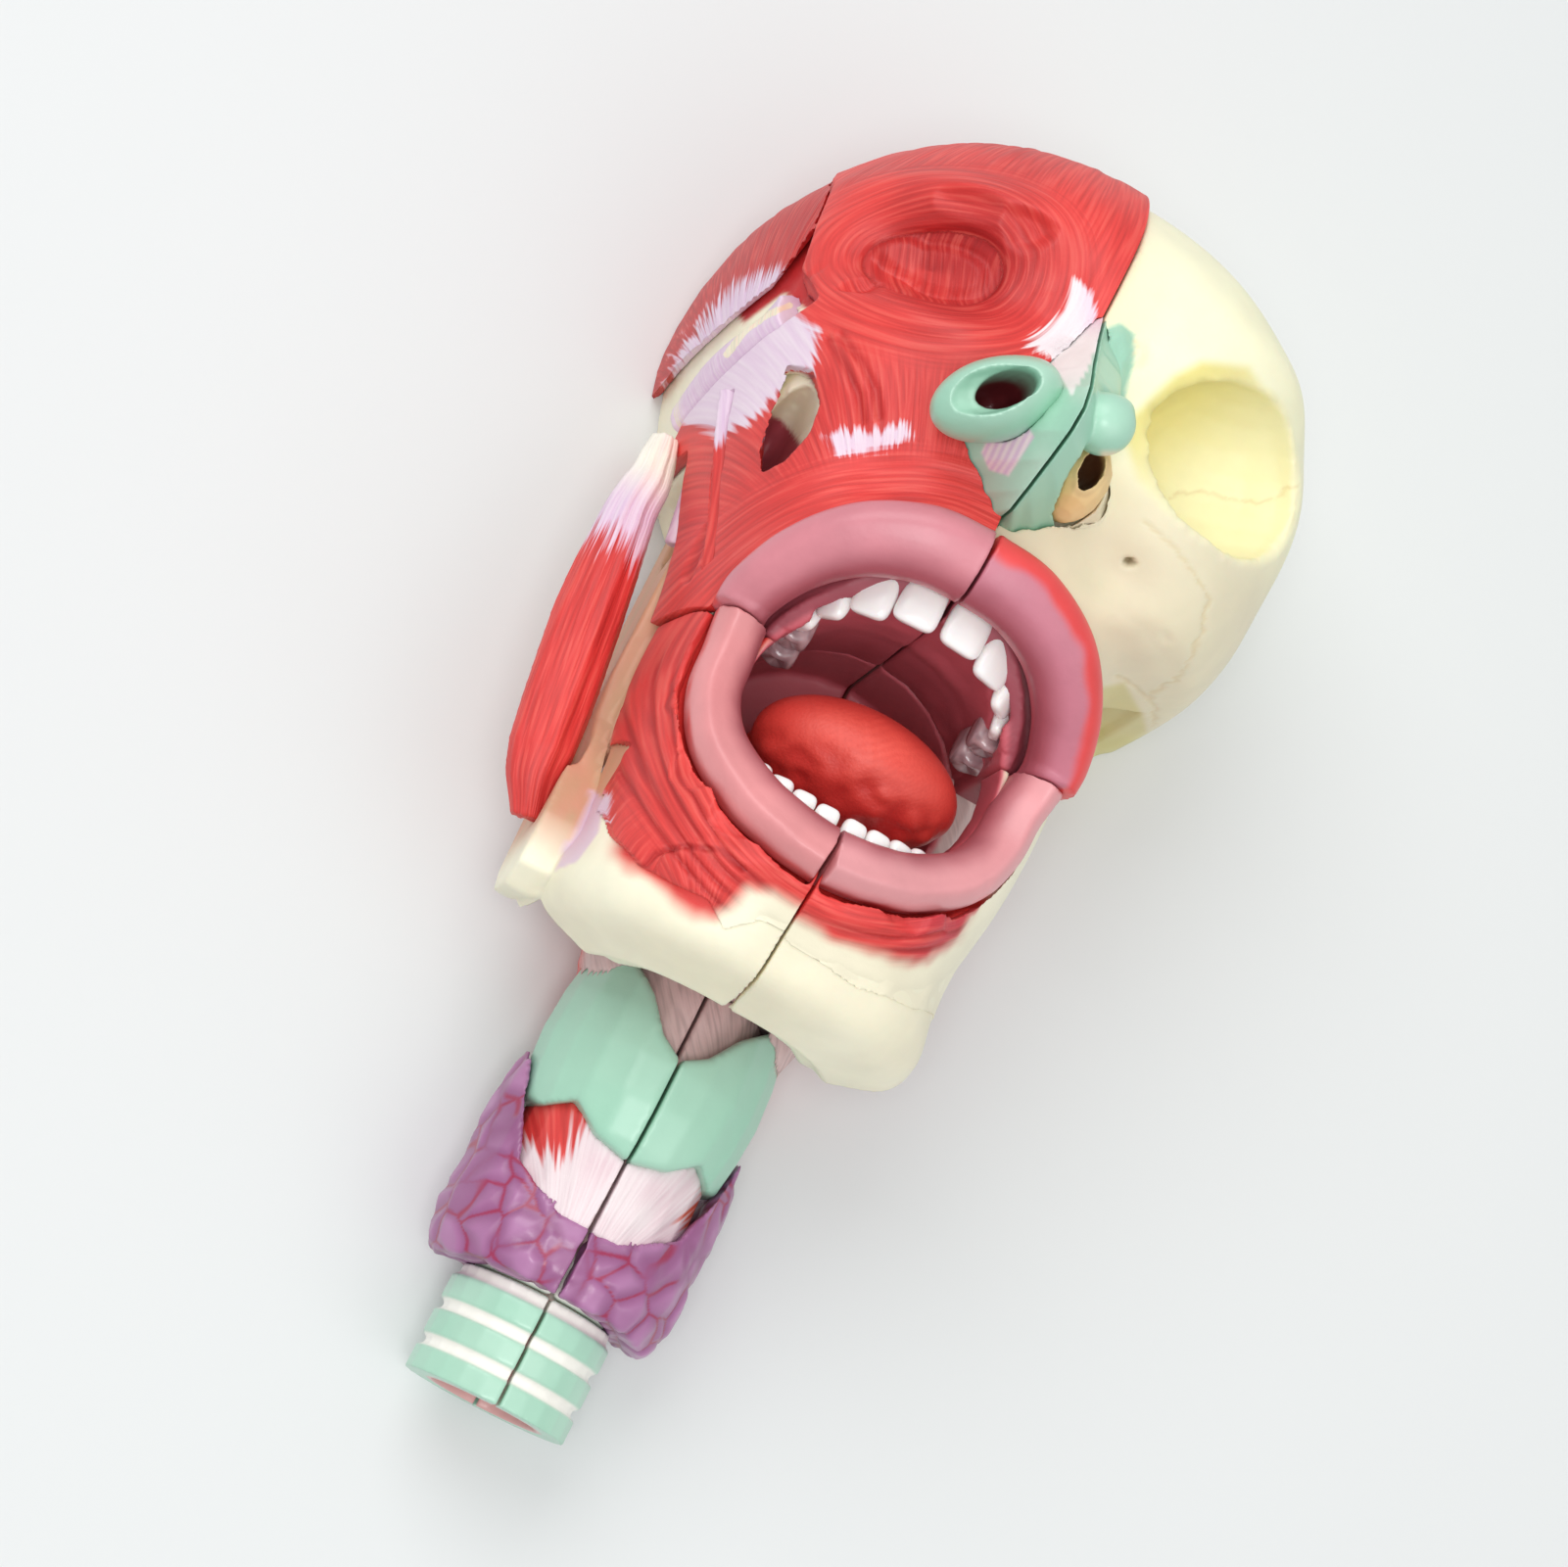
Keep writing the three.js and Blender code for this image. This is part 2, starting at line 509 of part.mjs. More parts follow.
const THYROID_OUTLINE_SHARES = [
  [0, 0.188, 0], [0.115, 0.195, 0], [0.205, 0.212, 0], [0.282, 0.201, 0], [0.372, 0.207, 0],
  [0.372, 0.305, 0], [0.314, 0.323, 0], [0.244, 0.322, 0], [0.154, 0.302, 0], [0.083, 0.277, 0],
  [0, 0.264, 0],
];
const THYROID_BACK_SHARE = 0.1;
const CRICOID_SHARES = [
  [0.134, 0.295, 0.323, 0.047], [0.165, 0.301, 0.333, 0.047], [0.213, 0.295, 0.34, 0.047],
];
const GLAND_SHARES = [
  [0.073, 0.321, 0.293, 0.02], [0.088, 0.385, 0.323, 0.013], [0.116, 0.404, 0.33, 0.013],
  [0.146, 0.397, 0.32, 0.013], [0.189, 0.404, 0.307, 0.02], [0.238, 0.372, 0.267, 0.04],
];
const GLAND_OUTLINE_SHARES = [
  [0, 0.085, 0], [0.154, 0.085, 0], [0.263, 0.084, 0], [0.346, 0.079, 0], [0.436, 0.098, 0],
  [0.436, 0.238, 0], [0.369, 0.238, 0], [0.327, 0.201, 0], [0.269, 0.159, 0], [0.154, 0.142, 0],
  [0, 0.138, 0],
];
const CRICOID_OUTLINE_SHARES = [
  [0, 0.134, 0], [0.385, 0.134, 0], [0.385, 0.205, 0], [0.282, 0.2, 0], [0.205, 0.21, 0],
  [0.115, 0.194, 0], [0, 0.186, 0],
];
const LARYNX_CLEAR = 0.6; // room round the larynx inside the gland

const PIN_PLACES_SHARES = [[0, 0.902, 0.4], [0, 0.707, 0.333], [0, 0.201, 0.08]];
const JAW_PIN_SHARE = [0.465, 0.532, 0.487];
const TONGUE_PEG_SHARE = [-0.103, 0.476, 0.167];
const BACK_OUTLINE_SHARES = [
  [0, 0.72, 0], [0.744, 0.72, 0], [0.808, 0.799, 0], [0.744, 0.878, 0], [0.513, 0.933, 0],
  [0, 0.954, 0],
];

const CORNER = CORNER_SHARE * LENGTH;
const WALL_FOOT = WALL_FOOT_SHARE * DEPTH;
const FLOOR_OF_WELL = CAVITY_FLOOR_SHARE * DEPTH;
const MOUTH_CENTRE = place(MOUTH_CENTRE_SHARE);
const ABOVE = DEPTH + OVERRUN;
const mirrorShares = (side, shares) => places(shares).map(mirrored(side));

// Everything above or below the line where the jaws meet the upper cheeks.
function beyondCorner(upward, gap = FIT / 2) {
  const edge = CORNER + (upward ? gap : -gap);
  const far = upward ? LENGTH + OVERRUN : -OVERRUN;
  return box(
    new THREE.Vector3(-HALF_WIDTH - OVERRUN, Math.min(edge, far), -OVERRUN),
    new THREE.Vector3(HALF_WIDTH + OVERRUN, Math.max(edge, far), ABOVE),
  );
}
const UPPER_ROOM = beyondCorner(true);
const LOWER_ROOM = beyondCorner(false);

// The open mouth, an upright oval well.
const mouthWell = (grow, low, high) =>
  prism(ellipsePoints(MOUTH_CENTRE, MOUTH_HALF_WIDTH + grow, MOUTH_HALF_HEIGHT + grow), low, high);

const lipBar = (side, shares, widthShares, grow) =>
  sweep(
    mirrorShares(side, shares),
    widthShares.map((share) => share * LIP_HALF_WIDTH),
    widthShares.map(() => LIP_HALF_THICK),
    9,
    9,
    grow,
  );
const upperLip = (side, grow = 0) => lipBar(side, UPPER_LIP_SHARES, UPPER_LIP_WIDTH_SHARES, grow);
const lowerLip = (side, grow = 0) => lipBar(side, LOWER_LIP_SHARES, LOWER_LIP_WIDTH_SHARES, grow);

// A row of teeth on its gum, from the molars to the median plane.
function teethRow(side, shares, pointing, grow = 0) {
  const points = mirrorShares(side, shares);
  const path = new THREE.CatmullRomCurve3(points);
  const gumWidths = points.map(() => GUM_RADIUS);
  const gum = sweep(points, gumWidths, gumWidths, 8, 6, grow);
  const teeth = Array.from({ length: TEETH_PER_QUARTER }, (_, i) => {
    const t = (i + 0.5) / TEETH_PER_QUARTER;
    const tooth = new THREE.SphereGeometry(1, 7, 4);
    tooth.scale(TOOTH_WIDTH / 2 + grow, TOOTH_HEIGHT / 2 + grow, TOOTH_THICK / 2 + grow);
    const tangent = path.getTangent(t);
    tooth.rotateY(-Math.atan2(tangent.z, tangent.x));
    const centre = path.getPoint(t);
    tooth.translate(centre.x, centre.y + pointing * TOOTH_HEIGHT * TOOTH_STAND_SHARE, centre.z);
    return solidOf(tooth);
  });
  return joined([gum, ...teeth]);
}
const upperTeeth = (side, grow = 0) => teethRow(side, UPPER_ARCH_SHARES, -1, grow);
const lowerTeeth = (side, grow = 0) => teethRow(side, LOWER_ARCH_SHARES, 1, grow);

// Pins across the median cut, and the pins that carry the jaws
const medianPins = PIN_PLACES_SHARES.map(place);
const pinHole = (centre) => rod(PIN_RADIUS + PIN_CLEARANCE, PIN_LENGTH + 2 * PIN_CLEARANCE, "x", centre);
const pinHoles = medianPins.map(pinHole);
const jawPinCentre = (side) => mirrored(side)(place(JAW_PIN_SHARE));
const jawPinHole = (side) =>
  rod(JAW_PIN_RADIUS + PIN_CLEARANCE, JAW_PIN_LENGTH + 2 * PIN_CLEARANCE, "y", jawPinCentre(side));

// Noses: the ridge is shared, and cut out of the face beneath it
const noseRidge = (side, grow = 0) =>
  halfBody(side, NOSE_SHARES, { inset: -grow, count: 8, spokes: 8 }).intersect(
    box(
      new THREE.Vector3(-HALF_WIDTH, 0, NOSE_FOOT_SHARE * DEPTH - grow),
      new THREE.Vector3(HALF_WIDTH, LENGTH, ABOVE),
    ),
  );

function alarWing(grow = 0) {
  const wing = new THREE.SphereGeometry(1, 14, 8);
  wing.scale(...ALAR_RADII.map((radius) => radius + grow));
  wing.rotateZ(ALAR_TURN);
  wing.translate(...place(ALAR_SHARE).toArray());
  return solidOf(wing);
}
// The nostril in the wing: a steep hole, and a shallow scoop from it to the wing's lower end.
function alarHollow() {
  const centre = place(ALAR_SHARE);
  const bowl = (radii, along, rise) => {
    const ball = new THREE.SphereGeometry(1, 14, 8);
    ball.scale(...radii);
    ball.translate(along, 0, 0);
    ball.rotateZ(ALAR_TURN);
    ball.translate(centre.x, centre.y, centre.z + rise);
    return solidOf(ball);
  };
  const hole = bowl(ALAR_HOLE_RADII, 0, ALAR_RADII[2] * HOLE_RISE_SHARE);
  return hole.add(bowl(ALAR_SCOOP_RADII, -SCOOP_SHARE * ALAR_RADII[0], ALAR_RADII[2]));
}
const leftDome = (grow = 0) =>
  ellipsoid(place(LEFT_DOME_SHARE), Array(3).fill(LEFT_DOME_RADIUS), grow);
// An oval post over the left nostril: the cup itself, its slit, or the clear space above it.
function nostrilPost(grow, reach = NOSTRIL_CUP_RADII[2] + grow) {
  const [wide, tall] = NOSTRIL_CUP_RADII;
  return ellipsoid(place(LEFT_NOSTRIL_SHARE), [wide + grow, tall + grow, reach]);
}
const leftNostrilRim = () =>
  cutBy(nostrilPost(0), [nostrilPost(-NOSTRIL_WALL, NOSTRIL_REACH), leftDome(FIT)]);
const leftCartilage = () =>
  noseRidge(LEFT).subtract(nostrilPost(FIT, OVERRUN)).add(leftDome()).intersect(ROOM[LEFT]);

// Head
function headBody(side, inset, drop = 0) {
  const whole = halfBody(side, side === LEFT ? LEFT_HEAD_SHARES : RIGHT_HEAD_SHARES, {
    inset,
    crownInset: inset,
    drop,
    relief: side === LEFT ? LEFT_RELIEF_SHARES : RIGHT_RELIEF_SHARES,
    swell: UPPER_SWELL,
    count: HEAD_STEPS,
  });
  const openBehindFace = box(
    new THREE.Vector3(-HALF_WIDTH - OVERRUN, -OVERRUN, -OVERRUN),
    new THREE.Vector3(HALF_WIDTH + OVERRUN, BACK_START_SHARE * LENGTH, WALL_FOOT),
  );
  return whole.subtract(openBehindFace);
}

// The base of the skull reaches down behind the nose, over the top of the pharynx.
function headBase(side) {
  const reach = side * BASE_BLOCK_HALF_WIDTH;
  const block = box(
    new THREE.Vector3(Math.min(0, reach), HEAD_BASE_SHARES[0][0] * LENGTH, 0),
    new THREE.Vector3(Math.max(0, reach), BACK_START_SHARE * LENGTH + BASE_BLOCK_LAP, WALL_FOOT - FIT),
  );
  const inset = side === RIGHT ? RIGHT_BASE_INSET : 0;
  return halfBody(side, HEAD_BASE_SHARES, { inset, count: 4 }).add(block);
}

const cheekBar = (grow = 0) =>
  sweep(
    places(ARCH_SHARES),
    ARCH_SHARES.map(() => ARCH_HALF_THICK),
    ARCH_WIDTH_SHARES.map((share) => share * ARCH_HALF_WIDTH),
    8,
    10,
    grow,
  );
const strapBar = (grow = 0) =>
  sweep(
    places(STRAP_SHARES),
    STRAP_SHARES.map(() => STRAP_HALF_WIDTH),
    STRAP_SHARES.map(() => STRAP_HALF_THICK),
    6,
    8,
    grow,
  );
const cheekPit = () => ellipsoid(place(CHEEK_PIT_SHARE), CHEEK_PIT_RADII, 0, 14);
const backRecess = (side) =>
  prism(mirrorShares(side, BACK_OUTLINE_SHARES), -OVERRUN, BACK_PANEL_DEPTH).intersect(
    box(
      new THREE.Vector3(side === LEFT ? BACK_RIM : -HALF_WIDTH, 0, -OVERRUN),
      new THREE.Vector3(side === LEFT ? HALF_WIDTH : -BACK_RIM, LENGTH, OVERRUN),
    ),
  );

function rightSkull() {
  const bone = headBody(RIGHT, SHEET).add(headBase(RIGHT)).intersect(ROOM[RIGHT]).intersect(UPPER_ROOM);
  return cutBy(bone, [
    mouthWell(CHEEK_WALL + FIT, WALL_FOOT - FIT, ABOVE),
    upperLip(RIGHT, FIT),
    noseRidge(RIGHT, FIT),
    alarWing(FIT),
    cheekBar(FIT),
    strapBar(FIT),
    cheekPit(),
    backRecess(RIGHT),
    ...pinHoles,
  ]);
}

function leftSkull() {
  const bone = headBody(LEFT, 0).add(headBase(LEFT)).intersect(ROOM[LEFT]);
  return cutBy(bone, [
    mouthWell(CHEEK_WALL + FIT, WALL_FOOT - FIT, ABOVE),
    upperLip(LEFT, FIT),
    noseRidge(LEFT, FIT),
    nostrilPost(FIT),
    orbit(),
    ellipsoid(place(TEMPLE_HOLLOW_SHARE), TEMPLE_HOLLOW_RADII),
    backRecess(LEFT),
    ...pinHoles,
  ]);
}

function orbit() {
  const bowl = new THREE.SphereGeometry(1, 18, 10);
  bowl.scale(...ORBIT_RADII);
  bowl.rotateY(ORBIT_TURN);
  bowl.rotateZ(ORBIT_LEAN);
  bowl.translate(...place(ORBIT_CENTRE_SHARE).toArray());
  return solidOf(bowl);
}

function faceMuscles() {
  const sheet = headBody(RIGHT, 0)
    .intersect(prism(places(SHEET_OUTLINE_SHARES), -OVERRUN, ABOVE))
    .intersect(ROOM[RIGHT])
    .intersect(UPPER_ROOM);
  return cutBy(sheet, [
    headBody(RIGHT, SHEET - FIT, OVERRUN),
    mouthWell(CHEEK_WALL + FIT, -OVERRUN, ABOVE),
    upperLip(RIGHT, FIT),
    noseRidge(RIGHT, FIT),
    alarWing(FIT),
    cheekBar(FIT),
    strapBar(FIT),
    masseterBar(FIT),
    prism(places(CHEEK_HOLE_SHARES), WALL_FOOT, ABOVE),
  ]);
}

function templeMuscle() {
  return headBody(RIGHT, SHEET - TEMPLE_SHEET)
    .intersect(prism(places(TEMPLE_OUTLINE_SHARES), -OVERRUN, ABOVE))
    .subtract(headBody(RIGHT, SHEET - FIT, OVERRUN));
}

// Cheeks and lips
function cheekWall(side) {
  const ring = mouthWell(CHEEK_WALL, WALL_FOOT, ABOVE).subtract(mouthWell(0, -OVERRUN, ABOVE));
  const top = places(UPPER_WALL_TOP_SHARES);
  const under = slab([...top, new THREE.Vector3(0, top.at(-1).y, 0), new THREE.Vector3(0, top[0].y, 0)]);
  const wall = ring.intersect(under).intersect(ROOM[side]).intersect(UPPER_ROOM);
  return cutBy(wall, [upperLip(side, FIT), upperTeeth(side, FIT), jawPinHole(side)]);
}
const upperLipPiece = (side) => upperLip(side).intersect(ROOM[side]).intersect(UPPER_ROOM);
const lowerLipPiece = (side) => lowerLip(side).intersect(ROOM[side]).intersect(LOWER_ROOM);
const upperTeethPiece = (side) => upperTeeth(side).subtract(upperLip(side, FIT)).intersect(ROOM[side]);
const lowerTeethPiece = (side) => lowerTeeth(side).subtract(lowerLip(side, FIT)).intersect(ROOM[side]);

// Jaws
const jawBody = (side, inset) =>
  halfBody(side, JAW_SHARES, { inset, swell: LOWER_SWELL, count: JAW_STEPS });

function jawBone(side) {
  const outer = jawBody(side, 0);
  const throatSide = jawBody(side, JAW_WALL).intersect(
    box(
      new THREE.Vector3(-HALF_WIDTH, -OVERRUN, -OVERRUN),
      new THREE.Vector3(HALF_WIDTH, MOUTH_CENTRE.y - MOUTH_HALF_HEIGHT - JAW_WALL, ABOVE),
    ),
  );
  const top = places(LOWER_WALL_TOP_SHARES);
  const under = slab([
    ...top,
    new THREE.Vector3(0, top.at(-1).y, JAW_FLOOR_SHARE * DEPTH),
    new THREE.Vector3(0, top[0].y, JAW_FLOOR_SHARE * DEPTH),
  ]);
  let bone = outer.subtract(throatSide).subtract(mouthWell(0, -OVERRUN, ABOVE)).intersect(under);
  bone = bone.intersect(ROOM[side]).intersect(LOWER_ROOM);
  bone = side === RIGHT ? bone.add(ramus()) : bone.intersect(slab(places(LEFT_JAW_END_SHARES)));
  const cuts = [lowerLip(side, FIT), lowerTeeth(side, SOCKET_FIT), jawPinHole(side)];
  return cutBy(bone, side === RIGHT ? [...cuts, masseterBar(FIT)] : cuts);
}

// The branch of the right jaw bone that runs up beside the masseter to the base of the skull.
function ramus() {
  const face = -RAMUS_FACE_SHARE * HALF_WIDTH;
  const branch = slab(places(RAMUS_OUTLINE_SHARES), face - RAMUS_THICK, face);
  return branch.subtract(halfBody(RIGHT, HEAD_BASE_SHARES, { inset: RIGHT_BASE_INSET - FIT, count: 4 }));
}

function chinMuscle(side) {
  const skin = jawBody(side, -CHIN_MUSCLE).subtract(jawBody(side, -FIT));
  const outline = side === RIGHT ? RIGHT_CHIN_OUTLINE_SHARES : LEFT_CHIN_OUTLINE_SHARES;
  const sheet = skin
    .intersect(prism(places(outline), JAW_FLOOR_SHARE * DEPTH, ABOVE))
    .intersect(ROOM[side])
    .intersect(LOWER_ROOM);
  return cutBy(sheet, [lowerLip(side, FIT), mouthWell(LIP_HALF_WIDTH, -OVERRUN, ABOVE)]);
}

const masseterBar = (grow = 0) =>
  sweep(
    places(MASSETER_SHARES),
    MASSETER_HALF_WIDTHS_SHARES.map((share) => share * MASSETER_HALF_WIDTH),
    MASSETER_HALF_WIDTHS_SHARES.map((share) => share * MASSETER_HALF_THICK),
    10,
    10,
    grow,
  );
const coronoidTendon = () => {
  const widths = TENDON_SHARES.map(() => TENDON_HALF_WIDTH);
  const thicks = TENDON_SHARES.map(() => TENDON_HALF_THICK);
  return sweep(places(TENDON_SHARES), widths, thicks, 6, 10).subtract(masseterBar(FIT));
};

// Tongue
const pegRod = (grow) =>
  rod(TONGUE_PEG_RADIUS + grow, TONGUE_PEG_LENGTH + 2 * grow, "z", place(TONGUE_PEG_SHARE));
const tonguePeg = () => pegRod(0);
const tonguePegHole = () => pegRod(PIN_CLEARANCE);
function tongue() {
  const blade = ellipsoid(place(TONGUE_BLADE.centreShare), TONGUE_BLADE.radii, 0, 14);
  const root = ellipsoid(place(TONGUE_ROOT.centreShare), TONGUE_ROOT.radii, 0, 12);
  const aboveFloor = mouthWell(-FIT, FLOOR_OF_WELL + FIT, ABOVE);
  return blade.add(root).intersect(aboveFloor).subtract(tonguePegHole());
}

// Throat
const core = (side, inset = 0) => halfColumn(side, CORE_SHARES, { inset });
const thyroidBody = (side, inset = 0) => halfColumn(side, THYROID_SHARES, { inset });
const throatRoom = (side, outline, low) =>
  prism(mirrorShares(side, outline), low, ABOVE).intersect(ROOM[side]);

function pharynxWall(side) {
  const wall = halfColumn(side, PHARYNX_SHARES, { power: 2.6, count: 6 }).intersect(ROOM[side]);
  return cutBy(wall, [
    mouthWell(0, FLOOR_OF_WELL, ABOVE),
    thyroidBody(side, -FIT),
    core(side, -FIT),
    ...pinHoles,
    ...(side === RIGHT ? [tonguePegHole()] : []),
  ]);
}
const larynxCore = (side) => cutBy(core(side).intersect(ROOM[side]), pinHoles);
function thyroidCartilage(side) {
  const shell = thyroidBody(side).subtract(core(side, -FIT));
  return shell.intersect(throatRoom(side, THYROID_OUTLINE_SHARES, THYROID_BACK_SHARE * DEPTH));
}
function cricothyroid(side) {
  const shell = halfColumn(side, CRICOID_SHARES, {}).subtract(core(side, -FIT)).intersect(ROOM[side]);
  return shell.intersect(throatRoom(side, CRICOID_OUTLINE_SHARES, -OVERRUN));
}
function airway() {
  const reach = TRACHEA_LENGTH + OVERRUN;
  const middle = new THREE.Vector3(0, TRACHEA_LENGTH - reach / 2, THROAT_AXIS_HEIGHT);
  return rod(TRACHEA_BORE, reach, "y", middle);
}

function thyroidGland(side) {
  const lobes = halfColumn(side, GLAND_SHARES, { count: 7 })
    .subtract(airway())
    .subtract(core(side, -FIT))
    .subtract(halfColumn(side, CRICOID_SHARES, { inset: -LARYNX_CLEAR }))
    .subtract(thyroidBody(side, -LARYNX_CLEAR));
  return lobes.intersect(throatRoom(side, GLAND_OUTLINE_SHARES, -OVERRUN));
}
function tracheaHalf(side) {
  const ringPitch = TRACHEA_LENGTH / TRACHEA_RING_COUNT;
  const grooveRadius = TRACHEA_RADIUS - TRACHEA_GROOVE;
  const profile = [new THREE.Vector2(TRACHEA_BORE, 0), new THREE.Vector2(TRACHEA_RADIUS, 0)];
  for (let i = 0; i < TRACHEA_RING_COUNT; i++) {
    const base = i * ringPitch;
    profile.push(new THREE.Vector2(TRACHEA_RADIUS, base + ringPitch * RING_EDGE_SHARE));
    profile.push(new THREE.Vector2(grooveRadius, base + ringPitch * BAND_START_SHARE));
    profile.push(new THREE.Vector2(grooveRadius, base + ringPitch * BAND_END_SHARE));
    if (i + 1 < TRACHEA_RING_COUNT) {
      profile.push(new THREE.Vector2(TRACHEA_RADIUS, base + ringPitch));
    }
  }
  profile.push(new THREE.Vector2(grooveRadius, TRACHEA_LENGTH));
  profile.push(new THREE.Vector2(TRACHEA_BORE, TRACHEA_LENGTH));
  profile.push(profile[0].clone());
  const tube = new THREE.LatheGeometry(profile.reverse(), 24);
  tube.translate(0, 0, THROAT_AXIS_HEIGHT);
  const lobes = halfColumn(side, GLAND_SHARES, { inset: -FIT, count: 8 }).intersect(
    throatRoom(side, GLAND_OUTLINE_SHARES, -OVERRUN),
  );
  return solidOf(tube).intersect(ROOM[side]).subtract(lobes);
}

// Looks, as colour and roughness
const LOOKS = {
  muscle: [0xd8402f, 0.42],
  bone: [0xe9e4b9, 0.5],
  leftBone: [0xe6e6a4, 0.5],
  cartilage: [0x7fc2a0, 0.4],
  lip: [0xc9788c, 0.45],
  tooth: [0xf4f2f0, 0.3],
  tongue: [0xdd4a2c, 0.45],
  membrane: [0xc7a3a8, 0.5],
  gland: [0xa05ba8, 0.42],
  tendon: [0xdcc6da, 0.45],
  ligament: [0xe4a9a4, 0.45],
  ochre: [0xd9b05c, 0.5],
  pin: [0xb9bcc0, 0.35, 0.9],
};

const model = new THREE.Group();
model.name = "throat_model";
model.position.y = -LENGTH / 2;

function addPiece(name, look, solid) {
  const [color, roughness, metalness = 0] = LOOKS[look];
  const mesh = new THREE.Mesh(
    geometryOf(trimmed(solid)),
    new THREE.MeshStandardMaterial({ color, roughness, metalness }),
  );
  mesh.name = name;
  model.add(mesh);
}

for (const [word, side] of [["right", RIGHT], ["left", LEFT]]) {
  addPiece(word + "_cheek_wall", "muscle", cheekWall(side));
  addPiece(word + "_upper_lip", "lip", upperLipPiece(side));
  addPiece(word + "_upper_teeth", "tooth", upperTeethPiece(side));
  addPiece(word + "_mandible", "bone", jawBone(side));
  addPiece(word + "_lower_lip", "lip", lowerLipPiece(side));
  addPiece(word + "_lower_teeth", "tooth", lowerTeethPiece(side));
  addPiece(word + "_chin_muscle", "muscle", chinMuscle(side));
  addPiece(word + "_jaw_pin", "pin", rod(JAW_PIN_RADIUS, JAW_PIN_LENGTH, "y", jawPinCentre(side), 12));
  addPiece(word + "_pharynx_wall", "membrane", pharynxWall(side));
  addPiece(word + "_larynx_core", "membrane", larynxCore(side));
  addPiece(word + "_thyroid_cartilage", "cartilage", thyroidCartilage(side));
  addPiece(word + "_cricothyroid_muscle", "ligament", cricothyroid(side));
  addPiece(word + "_thyroid_gland", "gland", thyroidGland(side));
  addPiece(word + "_trachea", "cartilage", tracheaHalf(side));
}

addPiece("right_skull", "bone", rightSkull());
addPiece("right_face_muscles", "muscle", faceMuscles());
addPiece("right_temple_muscle", "muscle", templeMuscle());
addPiece("right_cheek_arch", "bone", cheekBar().subtract(strapBar(FIT)));
addPiece("right_cheek_strap", "muscle", strapBar());
addPiece("right_nose_bridge", "tendon", noseRidge(RIGHT).intersect(ROOM[RIGHT]).subtract(alarWing(FIT)));
addPiece("right_alar_cartilage", "cartilage", alarWing().subtract(alarHollow()).intersect(ROOM[RIGHT]));
addPiece("right_masseter", "muscle", masseterBar());
addPiece("right_coronoid_tendon", "tendon", coronoidTendon());

addPiece("left_skull", "leftBone", leftSkull());
addPiece("left_nose_cartilage", "cartilage", leftCartilage());
addPiece("left_nostril_rim", "ochre", leftNostrilRim());

addPiece("tongue", "tongue", tongue());
addPiece("tongue_peg", "pin", tonguePeg());
["crown_pin", "palate_pin", "throat_pin"].forEach((name, i) => {
  addPiece(name, "pin", rod(PIN_RADIUS, PIN_LENGTH, "x", medianPins[i], 14));
});

export default model;
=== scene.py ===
import math

import bpy
import numpy as np
from mathutils import Matrix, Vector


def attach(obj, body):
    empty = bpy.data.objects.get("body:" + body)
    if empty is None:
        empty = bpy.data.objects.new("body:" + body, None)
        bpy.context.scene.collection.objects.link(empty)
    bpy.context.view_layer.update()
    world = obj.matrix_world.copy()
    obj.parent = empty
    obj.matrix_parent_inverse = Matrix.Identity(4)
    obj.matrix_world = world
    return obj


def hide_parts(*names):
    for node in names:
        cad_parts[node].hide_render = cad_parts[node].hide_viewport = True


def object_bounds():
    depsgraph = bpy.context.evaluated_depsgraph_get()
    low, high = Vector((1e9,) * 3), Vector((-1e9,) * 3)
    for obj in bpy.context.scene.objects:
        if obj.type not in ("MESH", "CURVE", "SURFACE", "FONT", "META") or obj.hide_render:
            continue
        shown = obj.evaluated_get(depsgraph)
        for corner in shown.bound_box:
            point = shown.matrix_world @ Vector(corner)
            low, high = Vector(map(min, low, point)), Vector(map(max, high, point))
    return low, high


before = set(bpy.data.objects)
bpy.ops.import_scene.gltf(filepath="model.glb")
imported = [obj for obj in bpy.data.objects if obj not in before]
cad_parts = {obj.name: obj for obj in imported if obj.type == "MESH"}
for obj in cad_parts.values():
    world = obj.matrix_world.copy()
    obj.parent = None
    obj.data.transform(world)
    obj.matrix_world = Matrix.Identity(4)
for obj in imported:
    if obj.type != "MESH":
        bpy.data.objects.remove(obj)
cad_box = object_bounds()

# Millimetres of the model: +X to the subject's left, +Y from the trachea's end to the crown,
# +Z from the table to the face. The row frame has its origin halfway along Y.
MM = 0.001
HALF_LENGTH = 164.0
ORIGIN = (0, HALF_LENGTH, 0)
SEAM_HALF = 0.4
SEAM_REACH = 0.3  # how near to a face of the median cut a point counts as on it
UPWARD = np.array([0.0, 0.0, 1.0])
SIDEWARD = np.array([1.0, 0.0, 0.0])
MOUTH = np.array([0.0, 164.5])

# Camera, fitted to the photograph
YAW, PITCH, ROLL = 8.0, 15.0, 27.0
DISTANCE = 800.0
AIM = np.array([-8.6, 155.0, 60.0])
LENS_MM = 79.15
FOCAL_PIXELS = 3520.0
PICTURE_CENTRE = (800.5, 800.0)
PIXELS_PER_MM = 4.55


def tone(red, green, blue):
    """A display colour of 0 to 255 as linear light."""
    c = np.array([red, green, blue]) / 255
    return np.where(c <= 0.04045, c / 12.92, ((c + 0.055) / 1.055) ** 2.4)


